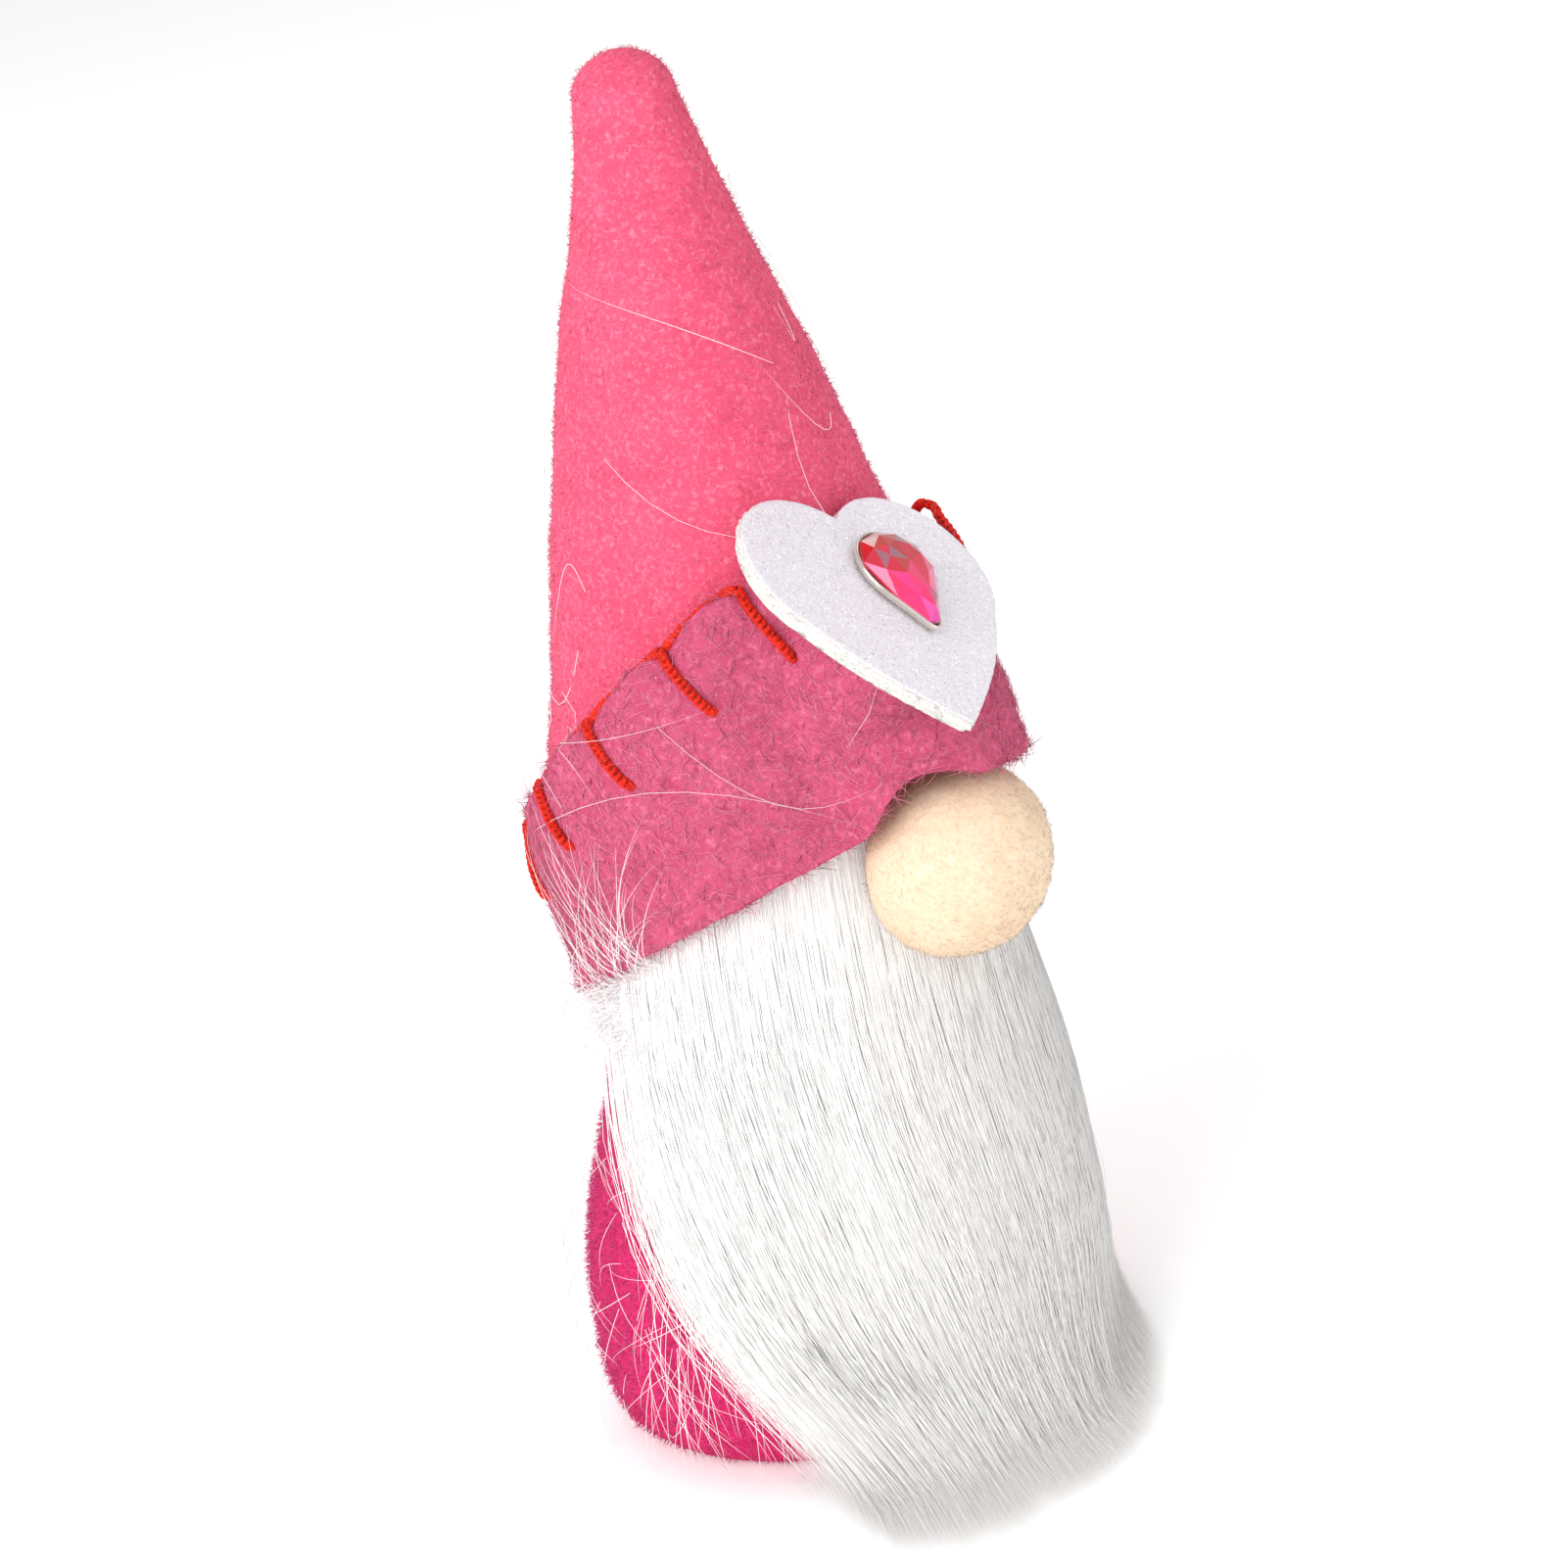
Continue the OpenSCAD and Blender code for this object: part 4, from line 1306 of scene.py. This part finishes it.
def comb_beard(count, seed, rings=8):
    """Hairs in locks. A hair leaves the backing under the brim or lower down and follows the body at its
    own depth, its angle shrinking with the beard's side; near the floor it swings out and lies along
    floor_way. Towards its tip it nears the middle of its lock. Its length is its way to the floor and a
    seeded run beyond, or less for short ones."""
    rng = np.random.default_rng(seed)
    ways = []
    for locks, pull, power in ((40, 0.15, 1.3), (300, 0.26, 2.0)):
        ways.append(
            (
                rng.uniform(-1, 1, locks), rng.uniform(0, 1, locks), rng.normal(0, 1, locks),
                rng.uniform(0, TAU, locks), pull, power
            )
        )
    side = rng.uniform(-1, 1, count)
    loose = rng.random(count) < 0.1
    side = np.where(loose, np.sign(side) * (1 + rng.exponential(0.07, count)), side)
    top = rng.random(count)
    layer = np.where(loose, 0.1, 1) * rng.beta(1.5, 1.0, count)
    start_z = np.where(rng.random(count) < 0.5, 88.0 - 2 * rng.random(count), 30 + 56 * top)
    z = np.linspace(88.0, 1.0, 60)[None, :] + 0 * side[:, None]
    near, bend = side[:, None] + 0 * z, 0 * z
    run_share = np.linspace(0, 1, 60)[None, :]
    for lock_side, lock_top, lock_bend, lock_phase, pull, power in ways:
        which = np.argmin(
            (side[:, None] - lock_side[None]) ** 2 * 12 + (top[:, None] - lock_top[None]) ** 2, 1
        )
        near = near + (lock_side[which] - side)[:, None] * pull * run_share**power
        bend = bend + 0.012 * np.sin(
            z / 11 + lock_phase[which][:, None]
        ) + 0.02 * lock_bend[which][:, None] * run_share**2
    fray = rng.normal(0, 0.03, count)[:, None] * run_share**1.5
    bend = bend + rng.normal(0, 0.008, count)[:, None] * np.sin(
        z / rng.uniform(9, 20, count)[:, None] + TAU * rng.random(count)[:, None]
    )
    phi = near * beard_side(z) + bend + fray
    depth = smooth(86, 52, z)
    lift = np.abs(rng.normal(0, 0.3, count))[:, None] * run_share
    swing = (
        (0.5 + 3.5 * rng.random(count)) * (0.4 + 0.6 * layer) * (1 - smooth(0.0, 0.7, side))
    )[:, None] * np.exp(-z / 8)
    close = beard_depth(phi, z)
    r = body_radius(np.clip(z, 9.0, CROWN_Z)) + 0.3 + BACKING * close + layer[:, None] * (
        0.4 + depth * (FUR_DEPTH + 0.4)
    ) * close + lift
    fall = round_body(phi, r, z) + swing[..., None] * floor_way(phi[:, -1:])
    more = np.linspace(0, 1, 25)[None, 1:]
    reach = 30.0 * floor_way(phi[:, -1:]) * more[..., None]
    ground_z = 0.25 + (1.2 * layer * rng.random(count))[:, None] + 0 * more
    out = fall[:, -1:] + reach
    out[..., 2] = ground_z
    path = blend_path(np.concatenate([fall, out], 1), 14)
    run = np.concatenate(
        [np.zeros((count, 1)), np.cumsum(np.linalg.norm(np.diff(path, axis=1), axis=-1), 1)], 1
    )
    rows = np.arange(count)
    first = run[rows, np.argmax(z <= start_z[:, None], 1)]
    down = run[:, 59] - first
    beyond = rng.beta(1.3, 1.5, count) * np.interp(
        np.degrees(phi[:, -1]), [-60, -30, 0, 30, 60], [24, 28, 24, 14, 7]
    )
    length = np.where(rng.random(count) < 0.3, down * rng.uniform(0.5, 1.02, count), down + beyond)
    s = np.linspace(0, 1, rings)[None, :]
    want = np.minimum(first[:, None] + length[:, None] * s, run[:, -1:] - 0.1)
    index = (run[:, None, :] < want[:, :, None]).sum(-1).clip(1, run.shape[1] - 1)
    a, b = run[rows[:, None], index - 1], run[rows[:, None], index]
    f = np.clip((want - a) / np.maximum(b - a, 1e-6), 0, 1)[..., None]
    lines = path[rows[:, None], index - 1] * (1 - f) + path[rows[:, None], index] * f
    lines[..., 2] = np.maximum(lines[..., 2], 0.15)
    far = np.maximum(-50.0 - lines[..., 1], 0)
    lines[..., 1] = np.where(far > 0, -50.0 - 10.0 * (1 - np.exp(-far / 10.0)), lines[..., 1])
    return lines, rng.uniform(0.09, 0.14, count), rng.random(count)


def beard_ground():
    """Closed panel under the hair: outside at body + backing + depth with combed grooves, inside just off
    the body. The columns run from side to side and the rows from under the brim to the floor."""
    cols, rows = 220, 60
    x = np.linspace(-1, 1, cols)[None, :]
    z = np.concatenate(
        [np.linspace(80, 8, rows - 14), 8 * (np.cos(np.linspace(0, 90, 15)[1:] * math.pi / 180))]
    )[:, None] + 0 * x
    z = np.maximum(z, 0.3)
    phi = x * beard_side(z) * 0.95
    taper = np.sqrt(np.clip(1 - np.abs(x) ** 6, 0, 1))
    groove = 0.5 * ripple(
        np.stack([phi * 40, 0 * phi, z * 0.05], -1), 2.6, 51
    ) + 0.5 * ripple(np.stack([phi * 40, 0 * phi, z * 0.03], -1), 1.2, 52)
    base = body_radius(np.clip(z, 9.0, CROWN_Z)) + 0.8
    pile = 1.3 * smooth(84, 52, z) * taper * beard_depth(phi, z)
    outer = base + 0.3 + pile + 0.3 * groove * smooth(82, 66, z) * taper
    inner = np.minimum(body_radius(np.clip(z, 0, CROWN_Z)) + 0.45, outer - 0.4)
    grid = np.concatenate([round_body(phi, outer, z), round_body(phi, inner, z)[:, ::-1]], 1)
    total = 2 * cols
    points = grid.reshape(-1, 3)
    quads = grid_faces(rows, total, wrap_cols=True)
    k = np.arange(cols - 1)
    ends = [
        np.stack(
            [row * total + k, row * total + k + 1, row * total + total - 2 - k, row * total + total - 1 - k],
            -1
        ) for row in (0, rows - 1)
    ]
    quads = np.concatenate([quads, ends[0][:, ::-1], ends[1]])
    mesh = new_mesh("beard_ground", points, quads)
    outward(mesh)
    return piece("beard_ground", mesh, fur_under, ["beard_fur", "beard_backing"])


ground = beard_ground()
for part in range(4):
    lines, width, tone = comb_beard(4850, 60 + part)
    mesh = new_mesh(f"beard_hair_{part + 1}", **strands(lines, width, tone, pile_side(lines)))
    piece(f"beard_hair_{part + 1}", mesh, fur_hair)


def stray_lines(count, seed, phi0, z0, turn, drop, lift, length, rings=10):
    """Loose hairs near the surface: from (phi0, z0) each runs its length with a slowly changing direction,
    angle plus turn and height minus drop, floating lift above the body."""
    rng = np.random.default_rng(seed)
    s = np.linspace(0, 1, rings)[None, :]
    ln = length(rng, count)[:, None]
    bend = rng.normal(0, 0.3, count)[:, None]
    phi = phi0(rng, count)[:, None] + turn(rng, count)[:, None] * s + bend * 0.12 * s**2
    z = z0(rng, count)[:, None] - ln * drop(rng, count)[:, None] * s + ln * 0.12 * bend * np.sin(np.pi * s)
    r = body_radius(np.clip(z, BELLY_Z, CROWN_Z)) + lift(rng, count)[:, None] * np.sin(
        np.pi * np.clip(0.12 + 0.8 * s, 0, 1)
    ) + 0.3
    return round_body(phi, r, np.maximum(z, 0.2)), rng.uniform(0.06, 0.1, count), rng.random(count)


def over(low, high):
    """Even spread between low and high."""
    return lambda rng, n: rng.uniform(low, high, n)


def add_hair(name, sets, material=stray_hair):
    """One piece from several sets of hairs with the same number of rings."""
    lines = np.concatenate([s[0] for s in sets])
    width = np.concatenate([s[1] for s in sets])
    tone = np.concatenate([s[2] for s in sets])
    return piece(name, new_mesh(name, **strands(lines, width, tone, pile_side(lines), 0.5)), material)


def mirrored(lines_set):
    """The same hairs with every second one on the other side."""
    lines, width, tone = lines_set
    flip = np.where(np.arange(len(lines)) % 2 == 0, 1.0, -1.0)
    return lines * np.stack([flip, np.ones_like(flip), np.ones_like(flip)], -1)[:, None], width, tone


def on_both(count, seed, phi0, z0, turn, drop, lift, length):
    """Loose hairs on both sides of the body: half with the angle as given and half with it turned round."""
    half = count // 2
    left = stray_lines(
        half, seed, lambda rng, n: -phi0(rng, n), z0, lambda rng, n: -turn(rng, n), drop, lift, length
    )
    right = stray_lines(half, seed + 1, phi0, z0, turn, drop, lift, length)
    return [np.concatenate(pair) for pair in zip(left, right)]


side_hair = [
    on_both(
        420, 71, over(0.9, 1.65), over(10, 60), over(-0.45, 0.15), over(0.6, 1.0), over(0.4, 2.2),
        over(10, 30)
    ),
    on_both(
        130, 73, over(1.1, 2.5), over(12, 58), over(-0.6, 0.6), over(0.1, 1.0), over(0.8, 3.0), over(9, 26)
    ),
    on_both(
        1200, 75, over(1.5, 2.2), over(57, 68), over(-0.2, 0.4), over(0.0, 0.8), over(1.0, 6.5), over(4, 15)
    ),
]
add_hair("side_hair", side_hair)


def brim_wisps(count, seed):
    """Hairs from under the brim's side corner that curl up over the felt: angle and height drift, radius
    just outside."""
    rng = np.random.default_rng(seed)
    s = np.linspace(0, 1, 10)[None, :]
    phi = rng.uniform(
        1.4, 2.0, count
    )[:, None] + rng.normal(0, 0.3, count)[:, None] * s + rng.normal(0, 0.15, count)[:, None] * s**2
    low = BRIM_LOW_Z + BRIM_LOW_K * 30 * np.cos(phi[:, :1])
    rise = rng.uniform(6, 26, count)[:, None]
    z = low - 2 + rise * s - 6 * rng.random(count)[:, None] * s**3
    arch = rng.uniform(0.1, 2.2, count)[:, None] * np.sin(np.pi * s) ** 0.7
    r = brim_outside(phi, z) + arch + 0.25 - 2.0 * (1 - smooth(0, 0.15, s))
    return around(phi, r, z), rng.uniform(0.07, 0.11, count), rng.random(count)


def hat_strays(count, seed):
    """Single long hairs that lie on the hat and the brim in wide curves."""
    rng = np.random.default_rng(seed)
    s = np.linspace(0, 1, 10)[None, :]
    z0 = rng.uniform(82, 150, count)[:, None]
    phi = rng.uniform(
        -2.4, 2.4, count
    )[:, None] + rng.normal(0, 0.8, count)[:, None] * s + 0.3 * rng.normal(0, 1, count)[:, None] * s**2
    z = z0 + rng.normal(0, 12, count)[:, None] * s + rng.normal(0, 6, count)[:, None] * np.sin(np.pi * s)
    brim_top = edge_height(phi)
    r = np.where(z < brim_top + 1.5, brim_outside(phi, np.minimum(z, brim_top)) + 0.9, hat_radius(z) + 1.1)
    kernel = np.array([0.2, 0.6, 0.2])
    soft = r.copy()
    soft[:, 1:-1] = kernel[0] * r[:, :-2] + kernel[1] * r[:, 1:-1] + kernel[2] * r[:, 2:]
    return around(phi, np.maximum(soft, r), z), rng.uniform(0.06, 0.09, count), rng.random(count)


add_hair("brim_wisps", [mirrored(brim_wisps(130, 81)), hat_strays(26, 82)])


# ---------------------------------------------------------------- short fibres on the cloths


def cover(
    name, obj, count, length, lie, curl, rings, width, material, seed, keep=None, comb=(0, 0, 0),
    share_side=0.7
):
    """Short fibres over a cloth piece."""
    points, normals = scattered(obj, count, seed, keep)
    rng = np.random.default_rng(seed + 1)
    lines = nap(points, normals, length, lie, curl, rings, seed + 2, comb)
    stay = lines[..., 2].min(1) > 0.05
    lines, normals = lines[stay], normals[stay]
    widths = width * rng.uniform(0.7, 1.2, len(lines))
    mesh = new_mesh(name, **strands(lines, widths, rng.random(len(lines)), normals[:, None], share_side))
    return piece(name, mesh, material)


def bare_body(p):
    """1 where the plush shows, 0 under the beard, the hat and the base."""
    q = p - lean(p[:, 2])
    phi = np.abs(np.arctan2(q[:, 0], -q[:, 1]))
    under_hat = p[:, 2] > BRIM_LOW_Z + BRIM_LOW_K * 30 * np.cos(phi) + 3
    return ((phi > beard_side(p[:, 2]) - 0.25) & ~under_hat & (p[:, 2] > 0.3)).astype(float)


def bare_hat(p):
    """1 on the outside of the hat above the brim."""
    r = np.hypot(p[:, 0], p[:, 1])
    return (
        (p[:, 2] > edge_height(np.arctan2(p[:, 0], -p[:, 1])) - 2)
        & (r > hat_radius(np.minimum(p[:, 2], 174)) - 2.2) | (p[:, 2] > 176)
    ).astype(float)


def bare_brim(p):
    """1 on the outside and the edges of the brim."""
    phi = np.arctan2(p[:, 0], -p[:, 1])
    return (np.hypot(p[:, 0], p[:, 1]) > brim_outside(phi, p[:, 2]) - 1.5).astype(float)


for part in range(2):
    cover(
        f"plush_pile_{part + 1}", body_plush, 12500, 1.3, 0.7, 0.15, 3, 0.14, plush_pile,
        101 + 10 * part, bare_body, (0, 0, -0.5)
    )
    cover(
        f"fleece_pile_{part + 1}", hat, 14500, 0.9, 1.2, 0.45, 3, 0.12, fleece_pile,
        131 + 10 * part, bare_hat
    )
    cover(
        f"felt_fibres_{part + 1}", brim, 6800, 2.4, 5.0, 0.9, 4, 0.11, felt_fibre,
        161 + 10 * part, bare_brim, (0, 0, 0), 0.6
    )
cover("ball_fibres", nose, 8000, 1.0, 2.2, 0.5, 3, 0.07, ball_fibre, 191)
